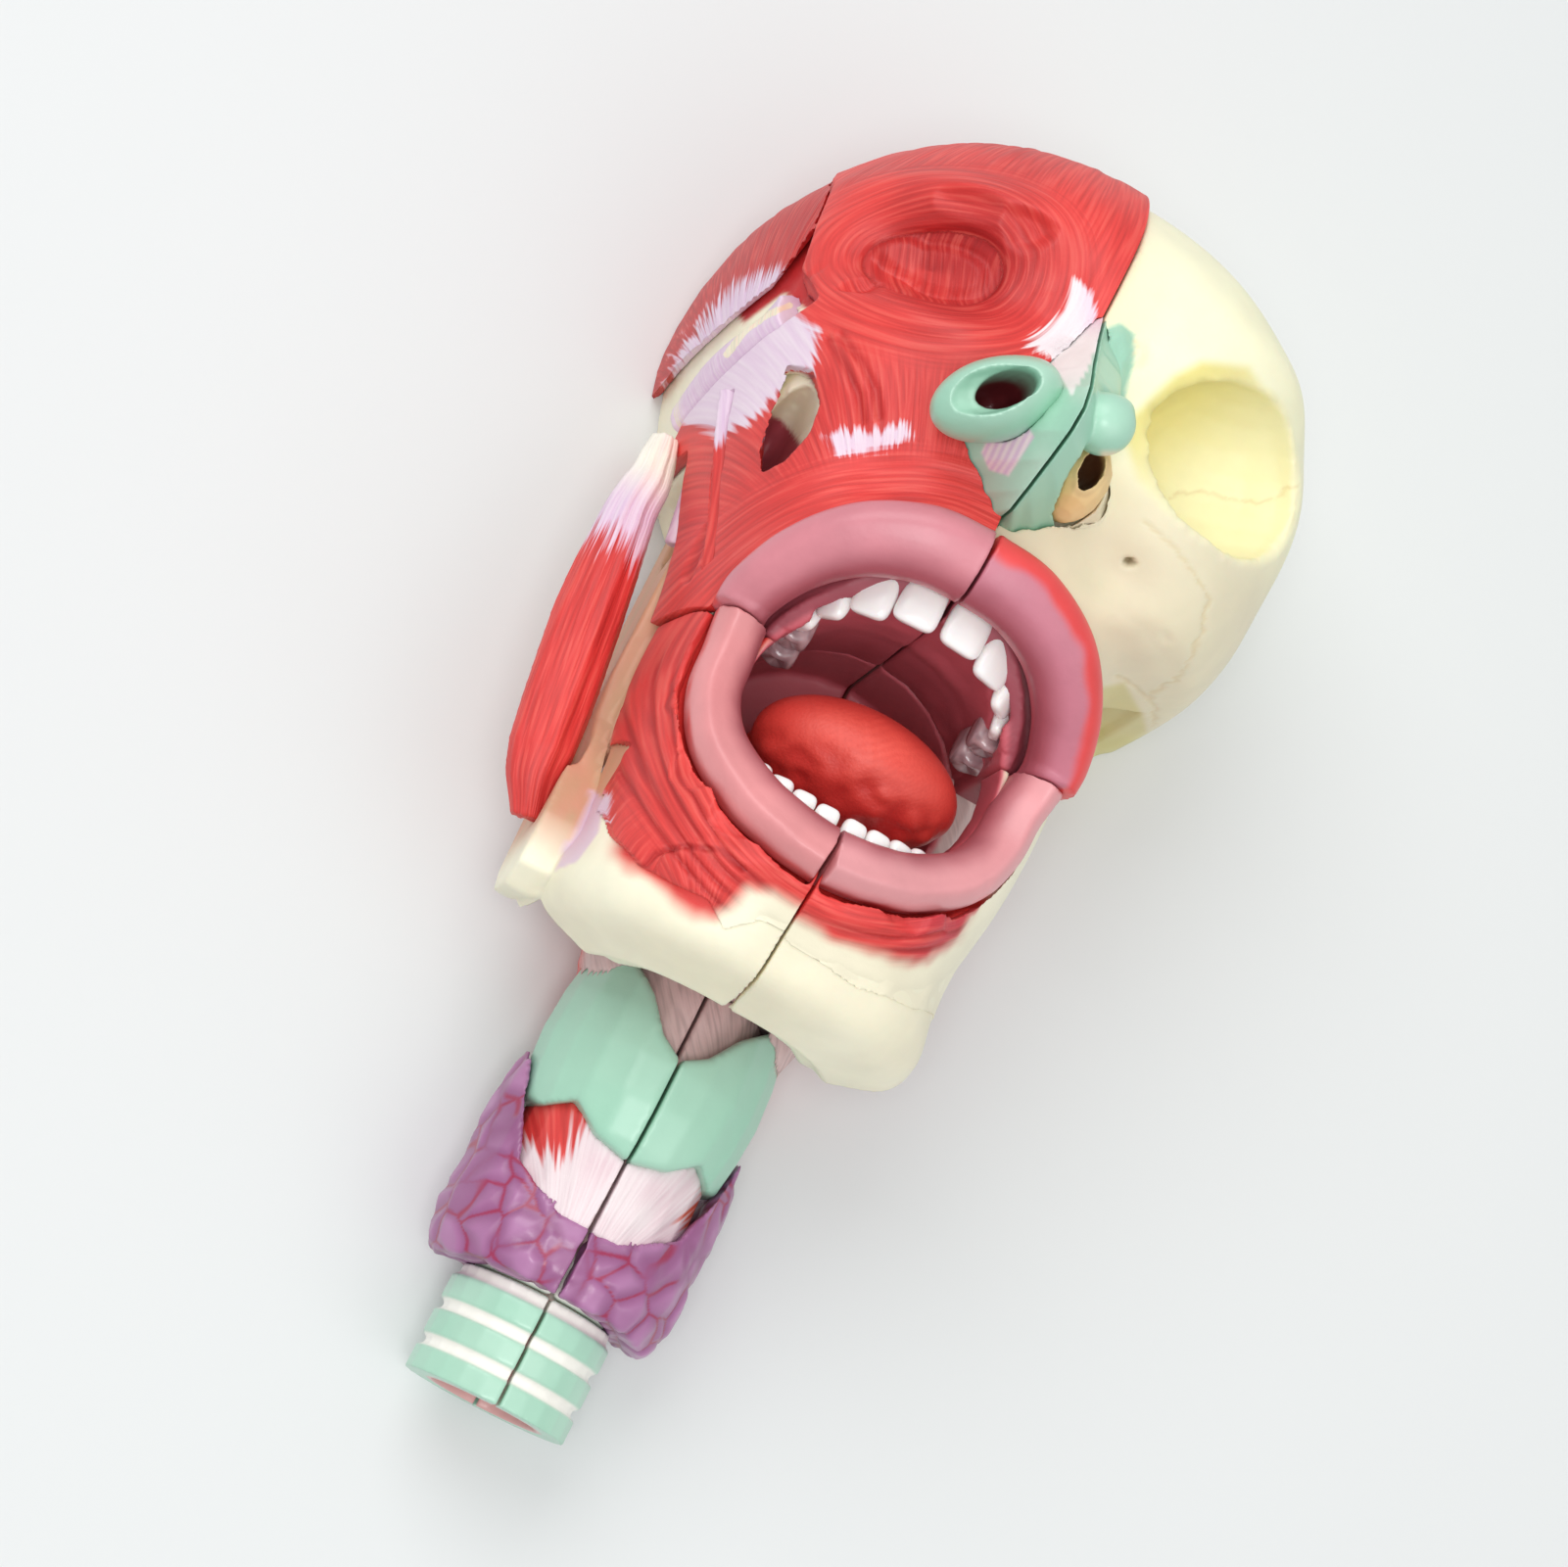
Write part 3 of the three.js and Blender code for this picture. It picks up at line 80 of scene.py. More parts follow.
RED = tone(232, 66, 62)
RED_HIGHLIGHT = tone(250, 128, 112)
RED_SHADE = tone(172, 22, 26)
RED_DARK = tone(196, 48, 50)
LAVENDER = tone(226, 196, 222)
TENDON = tone(250, 242, 242)
TENDON_WARM = tone(252, 247, 230)
TENDON_MAUVE = tone(206, 168, 188)
CREAM = tone(253, 248, 222)
CREAM_SHADE = tone(240, 228, 190)
CREAM_WARM = tone(250, 240, 214)
SKULL = tone(252, 250, 212)
SKULL_WARM = tone(232, 222, 192)
SKULL_SHADE = tone(220, 212, 140)
SUTURE = tone(222, 200, 150)
REAR_GAP_SHADE = tone(214, 204, 136)
FORAMEN_SHADE = tone(120, 96, 50)
ORBIT = tone(248, 243, 200)
ORBIT_SHADE = tone(232, 220, 138)
TAN = tone(206, 168, 132)
TAN_RED = tone(222, 160, 134)
NASAL_WHITE = tone(252, 248, 246)
NASAL_BLUSH = tone(240, 208, 222)
PATCH_PALE = tone(244, 228, 232)
LIP_MAUVE = tone(212, 132, 143)
LIP_ROSE = tone(200, 120, 137)
LIP_PINK = tone(228, 148, 150)
LIP_PEACH = tone(228, 156, 160)
LIP_INNER = tone(166, 82, 94)
MAROON = tone(208, 104, 116)
MAROON_DEEP = tone(172, 76, 86)
GUM = tone(196, 112, 122)
TOOTH = tone(252, 251, 249)
MOLAR = tone(184, 152, 156)
MOLAR_FURROW = tone(120, 88, 96)
MINT = tone(156, 210, 184)
MINT_LIGHT = tone(190, 226, 206)
OCHRE = tone(236, 196, 132)
OCHRE_LIGHT = tone(246, 216, 160)
OCHRE_SLIT_SHADE = tone(132, 84, 52)
ALAR_HOLE_SHADE = tone(96, 30, 34)
MEMBRANE = tone(210, 176, 174)
MEMBRANE_PALE = tone(230, 206, 202)
PINK = tone(226, 196, 204)
FAN_ORANGE = tone(240, 130, 90)
PURPLE = tone(150, 88, 134)
PURPLE_HIGHLIGHT = tone(192, 136, 182)
CRIMSON = tone(160, 24, 66)
CHIN_CRIMSON = tone(196, 52, 72)
TONGUE = tone(216, 66, 56)
TONGUE_HIGHLIGHT = tone(240, 96, 82)
TONGUE_DARK = tone(192, 44, 40)
BAND = tone(250, 248, 240)
BORE_PINK = tone(222, 176, 172)
PAPER = tone(226, 229, 229)


# Numbers

def smooth(low, high, value):
    t = np.clip((value - low) / (high - low), 0, 1)
    return t * t * (3 - 2 * t)


def mix(a, b, share):
    share = np.asarray(share)[:, None]
    return a * (1 - share) + b * share


def turned(a, b, angle):
    c, s = math.cos(angle), math.sin(angle)
    return a * c + b * s, -a * s + b * c


LATTICE = 64
GRAIN = np.random.RandomState(11).rand(LATTICE, LATTICE, LATTICE)


def noise(points, size, seed=0.0):
    """Smooth noise of 0 to 1 whose blobs are `size` across, one number or one for each axis."""
    q = points / size + seed * 7.31
    cell = np.floor(q).astype(int)
    f = q - cell
    f = f * f * (3 - 2 * f)
    total = np.zeros(len(points))
    for corner in range(8):
        pick = np.array([corner & 1, corner >> 1 & 1, corner >> 2 & 1])
        weight = np.prod(np.where(pick, f, 1 - f), axis=1)
        at = (cell + pick) % LATTICE
        total += weight * GRAIN[at[:, 0], at[:, 1], at[:, 2]]
    return total


def cells(points, size, seed):
    """Distances to the nearest and the second nearest scattered centre, in units of size."""
    q = points / size + seed * 3.77
    base = np.floor(q).astype(int)
    first = second = np.full(len(points), 9.0)
    for step in np.ndindex(3, 3, 3):
        at = base + step - 1
        a, b, c = (at % LATTICE).T
        jitter = np.stack([GRAIN[a, b, c], GRAIN[b, c, a], GRAIN[c, a, b]], axis=1)
        d = np.linalg.norm(at + jitter - q, axis=1)
        second = np.minimum(second, np.maximum(first, d))
        first = np.minimum(first, d)
    return first, second


def segments_distance(points, line):
    """Distance in the plane from each point to a line through the given corners."""
    best = np.full(len(points), 1e9)
    for a, b in zip(line[:-1], line[1:]):
        a, b = np.array(a, float), np.array(b, float)
        along = b - a
        t = np.clip((points - a) @ along / max(along @ along, 1e-9), 0, 1)
        best = np.minimum(best, np.linalg.norm(points - a - t[:, None] * along, axis=1))
    return best


def inside(points, outline):
    """Depth inside a closed outline, negative outside."""
    closed = list(outline) + [outline[0]]
    depth = segments_distance(points, closed)
    hit = np.zeros(len(points), bool)
    for (ax, ay), (bx, by) in zip(closed[:-1], closed[1:]):
        if ay == by:
            continue
        cross = (ay > points[:, 1]) != (by > points[:, 1])
        x = ax + (points[:, 1] - ay) * (bx - ax) / (by - ay)
        hit ^= cross & (points[:, 0] < x)
    return np.where(hit, depth, -depth)


def camera_axes():
    a, p, r = (math.radians(v) for v in (YAW, PITCH, ROLL))
    back = np.array([-math.sin(a) * math.cos(p), -math.sin(p), math.cos(a) * math.cos(p)])
    level = np.array([0.0, 1.0, 0.0])
    level -= back * (level @ back)
    level /= np.linalg.norm(level)
    side = np.cross(level, back)
    up = level * math.cos(r) - side * math.sin(r)
    right = level * math.sin(r) + side * math.cos(r)
    return back, up, right


CAMERA_BACK, CAMERA_UP, CAMERA_RIGHT = camera_axes()


def pictured(points):
    """Where points of the model fall in the 1601 x 1600 picture."""
    d = points - (AIM + CAMERA_BACK * DISTANCE)
    depth = -(d @ CAMERA_BACK)
    x = PICTURE_CENTRE[0] + FOCAL_PIXELS * (d @ CAMERA_RIGHT) / depth
    y = PICTURE_CENTRE[1] - FOCAL_PIXELS * (d @ CAMERA_UP) / depth
    return np.stack([x, y], axis=1)


def outlined(seen, outline):
    """Millimetres inside an outline in the picture."""
    return inside(seen, outline) / PIXELS_PER_MM


def filled(seen, outline, low, high):
    """1 inside an outline in the picture, with a soft edge from low to high in its pixels."""
    return smooth(low, high, inside(seen, outline))


def drawn(seen, lines, low, high):
    """1 on lines in the picture, 0 from `high` pixels beside them."""
    return np.maximum.reduce([1 - smooth(low, high, segments_distance(seen, line)) for line in lines])


# Meshes

def rows_of(items, key, width, kind):
    values = np.empty(len(items) * width, kind)
    items.foreach_get(key, values)
    return values.reshape(-1, width)


def points_of(piece):
    return rows_of(piece.data.vertices, "co", 3, np.float32).astype(float) / MM + ORIGIN


def normals_of(piece):
    return rows_of(piece.data.vertex_normals, "vector", 3, np.float32).astype(float)


BOX_MM = [np.array(corner) / MM + ORIGIN for corner in cad_box]
BOX_SPARE = 0.05


def put_points(piece, points):
    """Moves a piece's points, no further than the solids' box, and returns them."""
    points = np.clip(points, BOX_MM[0] + BOX_SPARE, BOX_MM[1] - BOX_SPARE)
    piece.data.vertices.foreach_set("co", ((points - ORIGIN) * MM).astype(np.float32).ravel())
    piece.data.update()
    return points_of(piece)


def at_seam(p, reach=SEAM_REACH):
    return np.abs(np.abs(p[:, 0]) - SEAM_HALF) < reach


def shifted(piece, p, move):
    """Moves points, but none out of the faces of the median cut."""
    move[at_seam(p), 0] = 0
    return put_points(piece, p + move)


def pushed(piece, p, way, height):
    """Moves points by a height each along a direction."""
    return put_points(piece, p + way * height[:, None])


def linked(name, data):
    item = bpy.data.objects.new(name, data)
    bpy.context.scene.collection.objects.link(item)
    return item


def relaxed(piece, rounds, free=None, swing=1.04):
    """Evens the mesh out without shrinking it. Points on the median cut stay in its plane."""
    p = points_of(piece)
    e = rows_of(piece.data.edges, "vertices", 2, np.int32)
    count = len(p)
    near = np.maximum(np.bincount(e.ravel(), minlength=count), 1)[:, None]
    hold = np.ones((count, 3))
    hold[at_seam(p, 0.35), 0] = 0
    hold[p[:, 2] < 0.35, 2] = 0
    if free is not None:
        hold *= free[:, None]
    for step in range(2 * rounds):
        total = [
            np.bincount(e[:, 0], p[e[:, 1], k], count) + np.bincount(e[:, 1], p[e[:, 0], k], count)
            for k in range(3)
        ]
        weight = 0.5 if step % 2 == 0 else -0.5 * swing
        p += weight * (np.stack(total, axis=1) / near - p) * hold
    return put_points(piece, p)


NODE_OF = {}  # the solid that each piece stands for


def shaped(node, name, voxel, rounds, swing=1.04):
    """A copy of a solid, with an even skin of small faces, and its points."""
    piece = linked(name.format(node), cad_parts[node].data.copy())
    NODE_OF[piece.name] = node
    piece.data.materials.clear()
    skin = piece.modifiers.new("skin", "REMESH")
    skin.mode = "VOXEL"
    skin.voxel_size = voxel * MM
    dressed = piece.evaluated_get(bpy.context.evaluated_depsgraph_get())
    mesh = bpy.data.meshes.new_from_object(dressed)
    piece.modifiers.clear()
    piece.data = mesh
    return piece, relaxed(piece, rounds, swing=swing)


def painted(piece, colours):
    layer = piece.data.color_attributes.new("tone", "FLOAT_COLOR", "POINT")
    rgba = np.ones((len(piece.data.vertices), 4), np.float32)
    rgba[:, :3] = np.clip(colours, 0, 1)
    layer.data.foreach_set("color", rgba.ravel())


def stored(piece, name, values, key="value"):
    """Keeps a number or a vector for each point under a name that a material reads."""
    count = len(piece.data.vertices)
    kind, shape = {"value": ("FLOAT", count), "vector": ("FLOAT_VECTOR", (count, 3))}[key]
    layer = piece.data.attributes.new(name, kind, "POINT")
    layer.data.foreach_set(key, np.broadcast_to(values, shape).astype(np.float32).ravel())


NO_TENDON = -9.0


def fibred(piece, colours, flow, over=None, share=0.0, pale=NO_TENDON, pale_tone=LAVENDER, calm=0.0):
    """Paint of a muscle: where its fibres run, how deep in a tendon each point is, and both tones."""
    painted(piece, colours)
    stored(piece, "flow", flow, "vector")
    stored(piece, "flow_over", flow if over is None else over, "vector")
    stored(piece, "over", share)
    stored(piece, "calm", calm)
    stored(piece, "pale", pale)
    stored(piece, "pale_tone", pale_tone, "vector")


def finished(piece, body, slot, colours=None, look=None):
    """Gives a piece its paint, its body and its look, the slot's look if no other is given."""
    if colours is not None:
        painted(piece, colours)
    piece.data.shade_smooth()
    piece.data.materials.clear()
    piece.data.materials.append(LOOKS[look or slot].material)
    node = NODE_OF[piece.name]
    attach(piece, body)
    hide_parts(node)


# Looks

class Look:
    """A material and its shader, with short calls for the nodes that feed it."""

    def __init__(self, name):
        self.material = bpy.data.materials.new(name)
        self.material.use_nodes = True
        self.shader = self.material.node_tree.nodes["Principled BSDF"]

    def fed(self, node, inputs):
        """Gives inputs of a node their numbers, colours or links."""
        for key, value in inputs.items():
            if isinstance(value, bpy.types.NodeSocket):
                self.material.node_tree.links.new(value, node.inputs[key])
            else:
                node.inputs[key].default_value = value

    def node(self, kind, output, inputs, **settings):
        node = self.material.node_tree.nodes.new("ShaderNode" + kind)
        for key, value in settings.items():
            setattr(node, key, value)
        self.fed(node, inputs)
        return node.outputs[output]

    def named(self, attribute, output="Fac"):
        return self.node("Attribute", output, {}, attribute_name=attribute)

    def speckle(self, place, scale, detail):
        return self.node("TexNoise", "Fac", {"Vector": place, "Scale": scale, "Detail": detail})

    def ranged(self, value, low, high, to_low, to_high):
        return self.node("MapRange", "Result", {
            "Value": value, "From Min": low, "From Max": high, "To Min": to_low, "To Max": to_high,
        })

    def scaled(self, colour, factor):
        return self.node("VectorMath", "Vector", {0: colour, "Scale": factor}, operation="SCALE")

    def blended(self, kind, share, first, second):
        at, out = {"FLOAT": (2, 0), "RGBA": (6, 2)}[kind]
        return self.node("Mix", out, {0: share, at: first, at + 1: second}, data_type=kind)

    def bumped(self, height, strength, distance):
        return self.node("Bump", "Normal", {"Height": height, "Strength": strength, "Distance": distance})


def look_of(name, roughness, coat=0.0, bump=0.15, grain=900.0, mottle=0.06, subsurface=0.0):
    """Painted plastic: the colour painted on the mesh, mottled, with a fine surface grain."""
    look = Look(name)
    place = look.node("TexCoord", "Object", {})
    coarse = look.speckle(place, 90.0, 5.0)
    brightness = look.ranged(coarse, 0.3, 0.7, 1 - mottle, 1 + mottle)
    look.fed(look.shader, {
        "Base Color": look.scaled(look.named("tone", "Color"), brightness),
        "Roughness": look.ranged(coarse, 0.0, 1.0, roughness - 0.07, roughness + 0.07),
        "Normal": look.bumped(look.speckle(place, grain, 3.0), bump, 0.0004),
        "Coat Weight": coat,
        "Coat Roughness": 0.25,
        "Subsurface Weight": subsurface,
        "Subsurface Scale": 0.002,
    })
    return look


FRAY = 3.6  # mm that the strokes of a tendon's edge reach on both sides of it


def fibre_look(name, roughness, coat, depth, ridge_highlight=RED_HIGHLIGHT):
    """Painted fibres: fine cords along the stored flow, with a painted highlight on their tops and painted
    shade between them, and frayed pale tendons.
    """
    look = look_of(name, roughness, coat, mottle=0.04)
    plain = look.shader.inputs["Base Color"].links[0].from_socket
    grain = look.shader.inputs["Normal"].links[0].from_node
    under, over = (look.speckle(look.named(flow, "Vector"), 1.0, 1.5) for flow in ("flow", "flow_over"))
    height = look.blended("FLOAT", look.named("over"), under, over)
    height = look.blended("FLOAT", look.named("calm"), height, 0.5)
    strand = look.ranged(height, 0.33, 0.67, 0.0, 1.0)
    # painted shade between the cords, and a painted highlight of the ridge colour on their tops
    shade = look.scaled(plain, look.ranged(strand, 0.0, 0.6, 0.8, 1.0))
    ridge = look.blended("RGBA", look.ranged(strand, 0.55, 1.0, 0.0, 0.24), shade, (*ridge_highlight, 1))
    strokes = look.ranged(strand, 0.0, 1.0, -FRAY / 2, FRAY / 2)
    fray = look.node("Math", 0, {0: look.named("pale"), 1: strokes}, operation="ADD")
    tendon = look.named("pale_tone", "Color")
    tendon = look.blended("RGBA", look.ranged(strand, 0.2, 0.9, 0.0, 0.3), tendon, (*TENDON, 1))
    skin = look.blended("RGBA", look.ranged(fray, -1.1, 1.1, 0.0, 1.0), ridge, tendon)
    look.fed(look.shader, {"Base Color": skin})
    look.fed(grain, {"Normal": look.bumped(height, depth, 0.0006)})
    return look


LOOKS = {
    "muscle": fibre_look("muscle_paint", 0.54, 0.04, 0.5),
    "ligament": fibre_look("sinew_paint", 0.45, 0.08, 0.4),
    "membrane": fibre_look("membrane_paint", 0.5, 0.05, 0.35, ridge_highlight=MEMBRANE_PALE),
    "bone": look_of("bone_plastic", 0.5, bump=0.12, grain=500, mottle=0.035, subsurface=0.08),
    "tendon": look_of("tendon_paint", 0.45, bump=0.15),
    "cartilage": look_of("cartilage_paint", 0.36, coat=0.2, bump=0.06, mottle=0.03),
    "lip": look_of("lip_paint", 0.42, coat=0.15, bump=0.16, grain=700),
    "mouth": look_of("mouth_paint", 0.48, coat=0.1, bump=0.2),
    "tooth": look_of("tooth_enamel", 0.22, coat=0.5, bump=0.03, mottle=0.02, subsurface=0.1),
    "tongue": look_of("tongue_paint", 0.52, coat=0.06, bump=0.35, grain=1500),
    "gland": look_of("gland_paint", 0.36, coat=0.3, bump=0.08),
    "nostril": look_of("nostril_paint", 0.45, bump=0.1),
}


# Curves through rows of places

def between(p0, p1, p2, p3, t):
    """Places at the shares t of the way from p1 to p2 on a smooth line through all four."""
    v0, v1 = (p2 - p0) / 2, (p3 - p1) / 2
    return (2 * p1 - 2 * p2 + v0 + v1) * t ** 3 + (-3 * p1 + 3 * p2 - 2 * v0 - v1) * t ** 2 + v0 * t + p1


def curve_through(points, count):
    """A smooth line through the points, with so many places from each one to the next."""
    p = np.array(points, float)
    ends = np.vstack([2 * p[0] - p[1], p, 2 * p[-1] - p[-2]])
    last = len(p) - 2
    steps = [np.linspace(0, 1, count, endpoint=i == last)[:, None] for i in range(last + 1)]
    return np.vstack([between(*ends[i:i + 4], t) for i, t in enumerate(steps)])


def station_table(rows):
    """Station rows (place up the body, then any values) filled in finely and sorted."""
    p = np.array(rows, float)
    ends = np.vstack([p[0], p, p[-1]])
    steps = np.linspace(0, 1, 24)[:, None]
    table = np.vstack([between(*ends[i:i + 4], steps) for i in range(len(ends) - 3)])
    return table[np.argsort(table[:, 0], kind="stable")]


# Head: half width, height and squareness of the section at each place up the body

RIGHT_HEAD = station_table([
    [172, 53, 100, 4], [184, 55, 108, 4], [196, 58, 113, 3.9], [208, 62.5, 115, 3.6],
    [220, 67.5, 116.5, 3.2], [232, 72.5, 118, 2.8], [246, 77.8, 119, 2.5], [262, 79.4, 119.5, 2.35],
    [278, 77.8, 119.3, 2.3], [292, 72.4, 117, 2.3], [303, 65, 109.5, 2.3], [312, 56, 97.5, 2.3],
    [319, 45.5, 80.5, 2.3], [324.5, 31, 58, 2.3], [328, 13, 25, 2.3],
])
LEFT_HEAD = station_table([
    [196, 45, 98, 3.6], [204, 48, 105, 3.6], [211, 53, 109, 3.6], [216, 64, 110.5, 3.6],
    [221, 72, 112, 3.6], [232, 76, 115, 3.5], [246, 77.6, 117, 3.2], [262, 78, 117.5, 3],
    [278, 76.2, 117.3, 2.8], [292, 71.4, 115, 2.6], [302, 64.5, 107.5, 2.45], [310, 56, 95.5, 2.35],
    [316.5, 45, 78.5, 2.3], [321.5, 30.5, 57, 2.3], [324.5, 13, 25, 2.3],
])
JAW = station_table([
    [99, 40, 86, 3], [103, 48, 99, 3.2], [110, 51, 103, 3.4], [120, 49.5, 103, 3.4],
    [132, 48, 101, 3.6], [146, 47.5, 98, 4], [160, 47.5, 97, 4], [176, 48, 97, 4],
])
# Mounds and hollows: place across and up, reach across and up, rise
RIGHT_RELIEF = [
    [38, 267, 15, 10, -14], [38, 284, 22, 7, 5], [60, 268, 7, 12, 4], [36, 251, 22, 7, 4],
    [12, 268, 9, 12, -5], [14, 292, 14, 10, 2], [45, 232, 14, 9, 3], [30, 214, 10, 8, -3],
]
LEFT_RELIEF = [
    [46, 288, 22, 7, 3], [12, 268, 9, 10, -4], [66, 262, 8, 18, 3], [40, 243, 16, 6, 2],
    [30, 222, 12, 8, -5], [22, 232, 8, 8, -3], [66, 296, 10, 12, -3],
]

# Each body: its sections, its mounds and hollows, and how far it rises towards the lips
RIGHT_BODY = (RIGHT_HEAD, RIGHT_RELIEF, 5)
LEFT_BODY = (LEFT_HEAD, LEFT_RELIEF, 5)
JAW_BODY = (JAW, [], 8)
LIP_RING = 38.7
SWELL_REACH = 12.0


def radius_of(body, p, inset):
    """Radius about the Y axis of a body of sections in the direction of each point."""
    table, relief, swell = body
    x, y, z = p.T
    rows = [np.interp(y, table[:, 0], table[:, k]) for k in (1, 2, 3)]
    width, height, power = rows[0] - inset, rows[1] - inset, rows[2]
    radius = np.maximum(np.hypot(x, z), 1e-6)
    s, c = np.abs(x) / radius, np.maximum(z, 0) / radius
    skin = ((s / width) ** power + (c / height) ** power) ** (-1 / power)
    across = skin * s
    ring = np.hypot(across, y - MOUTH[1])
    raised = swell * np.exp(-((ring - LIP_RING) / SWELL_REACH) ** 2)
    for middle, place, wide, tall, rise in relief:
        raised += rise * np.exp(-((across - middle) / wide) ** 2 - ((y - place) / tall) ** 2)
    return radius, skin + raised


def skin_depth(body, p, inset=0.0):
    """How far points lie below the smooth skin, and the direction out of it."""
    def gap(q):
        radius, skin = radius_of(body, q, inset)
        return radius - skin
    here = gap(p)
    step = 0.3
    slope = np.stack([gap(p + step * axis) - here for axis in np.eye(3)], axis=1) / step
    size = np.maximum(np.linalg.norm(slope, axis=1), 0.3)
    return -here / size, slope / size[:, None]


def faired(piece, body, inset=0.0, reach=1.4):
    """Moves what is nearly on the skin of a body of sections onto it, and tells which points are."""
    p = points_of(piece)
    depth, out = skin_depth(body, p, inset)
    hold = 1 - smooth(reach * 0.6, reach, np.abs(depth))
    hold *= smooth(0.5, 2.0, p[:, 2])
    return shifted(piece, p, out * (depth * hold)[:, None]), hold


def rounded(piece, centre, radii, turn=0.0, reach=0.12):
    """Moves what is nearly on a turned ellipsoid onto it."""
    p = points_of(piece)
    c, s = math.cos(turn), math.sin(turn)
    spin = np.array([[c, s, 0], [-s, c, 0], [0, 0, 1]])
    q = (p - centre) @ spin.T / radii
    size = np.linalg.norm(q, axis=1)
    hold = 1 - smooth(reach * 0.6, reach, np.abs(size - 1))
    target = centre + (q / size[:, None] * radii) @ spin
    shifted(piece, p, (target - p) * hold[:, None])


def swollen(piece, amount):
    """Grows a piece a little all round, except across the median cut."""
    p = points_of(piece)
    move = normals_of(piece) * amount
    move[at_seam(p, 0.5), 0] = 0
    move[p[:, 2] < 1] = 0
    return put_points(piece, p + move)


def flush(p, height):
    """Lowers what stands proud of the right half's skin until only the given height is left."""
    depth, out = skin_depth(RIGHT_BODY, p)
    y = p[:, 1]
    rows = np.linspace(y.min(), y.max(), 15)
    tops = [np.percentile(-depth[np.abs(y - row) < 2.5], 96) for row in rows]
    sink = np.maximum(np.interp(y, rows, tops) - height, 0)
    return p - out * sink[:, None]


# Fibres

def strands(across, along, seed, pitch):
    """Height of 0 to 1 of fine lines that run along, side by side across."""
    wander = noise(np.stack([across / pitch * 0.35, along / 26, np.zeros(len(across))], axis=1), 1.0, seed)
    return 0.5 + 0.5 * np.sin(2 * np.pi * (across / pitch + 1.6 * wander))


EYE = np.array([-38.0, 266.7])
EYE_TILT = math.radians(14)
LID = 9.0  # mm from the middle of the eye to the edge of the closed lid
CORD = 0.85  # mm across one fine fibre
RUN = 15.0  # mm along it before it changes
ROPE_MEAN = 0.6


def run_of(across, along):
    """Straight fibres: where a point lies across and along them, in units of the fine noise."""
    return np.stack([across / CORD, along / RUN, np.zeros(len(across))], axis=1)


def ring_of(radius, turn, size):
    """Fibres in rings of about the given size, without a break where the angle starts again."""
    return np.stack([radius / CORD, np.cos(turn) * size / RUN, np.sin(turn) * size / RUN], axis=1)


def ropes(flow, seed):
    """Height of 0 to 1 of the few larger cords along a flow."""
    return noise(flow * (0.34, 0.5, 0.5), 1.0, seed)


def corded(flow, seed, height):
    """Relief of the larger cords, in mm."""
    return (ropes(flow, seed) - ROPE_MEAN) * height


def eye_place(p):
    u, v = turned(p[:, 0] - EYE[0], p[:, 1] - EYE[1], EYE_TILT)
    stretch = 1.25 + 1.1 * np.exp(-((u / 1.25) ** 2 + v ** 2) / 110)
    return np.hypot(u / stretch, v), np.arctan2(v, u / stretch)


def mouth_place(p):
    dx, dy = p[:, 0], p[:, 1] - MOUTH[1]
    return np.hypot(dx, dy), np.arctan2(dy, dx)


def face_flow(p):
    """Rings round the eye and the mouth, over a brow that runs up and cheeks that run to the lips."""
    x, y, z = p.T
    eye_ring, eye_turn = eye_place(p)
    ring, turn = mouth_place(p)
    brow = run_of(np.arctan2(-x, z - 25) * 84, y)
    fan = run_of(turn * 74, ring)
    high = smooth(262, 270, y + 0.25 * x + 8)[:, None]
    under = fan * (1 - high) + brow * high
    near_eye = (eye_ring < 45)[:, None]
    over = np.where(near_eye, ring_of(eye_ring * 1.05, eye_turn, 20), ring_of(ring, turn, 52))
    lid = run_of(0.9 * (x - EYE[0]) + 0.35 * (y - EYE[1]), y)
    over = np.where((eye_ring < LID)[:, None], lid, over)
    share = np.maximum(1 - smooth(24, 31, eye_ring), 1 - smooth(58, 66, ring))
    return under, over, share


def muscle_tone(p, seed=0.0):
    """The red of the muscles, a little uneven from place to place."""
    return mix(RED, RED_DARK, 0.35 * smooth(0.35, 0.8, noise(p, 16.0, seed)))


# Right half. Outlines and lines here and below are in the photograph's pixels.

CHEEK_TENDON = [
    (790, 308), (830, 338), (828, 368), (812, 396), (790, 398), (772, 416), (758, 430), (735, 440),
    (702, 432), (690, 402), (715, 370), (758, 338),
]
LIP_TENDON = [
    (842, 444), (856, 440), (890, 441), (925, 433), (930, 445), (912, 455), (866, 465), (855, 466),
]
BROW_TENDON = [
    (1097, 286), (1113, 295), (1120, 322), (1112, 350), (1095, 380), (1068, 362), (1046, 352),
    (1068, 334), (1088, 318),
]
TEMPLE_TENDON = [
    (792, 284), (803, 296), (797, 318), (745, 358), (703, 392), (690, 402), (700, 368), (712, 352),
    (728, 328), (752, 300), (775, 288),
]
FOLDS = [
    [(845, 345), (862, 372), (876, 402), (880, 430)],
    [(858, 342), (880, 368), (894, 398), (897, 425)],
    [(700, 590), (712, 560), (722, 540)],
]
PIT_BONE = [
    (776, 420), (790, 384), (802, 372), (824, 384), (842, 412), (836, 440), (820, 456), (808, 440),
    (798, 428),
]


def pit_tone(seen, colour):
    """The hollow of the cheek: a cream bone rim on its upper side, dark red below."""
    return mix(colour, CREAM, filled(seen, PIT_BONE, -3, 2))


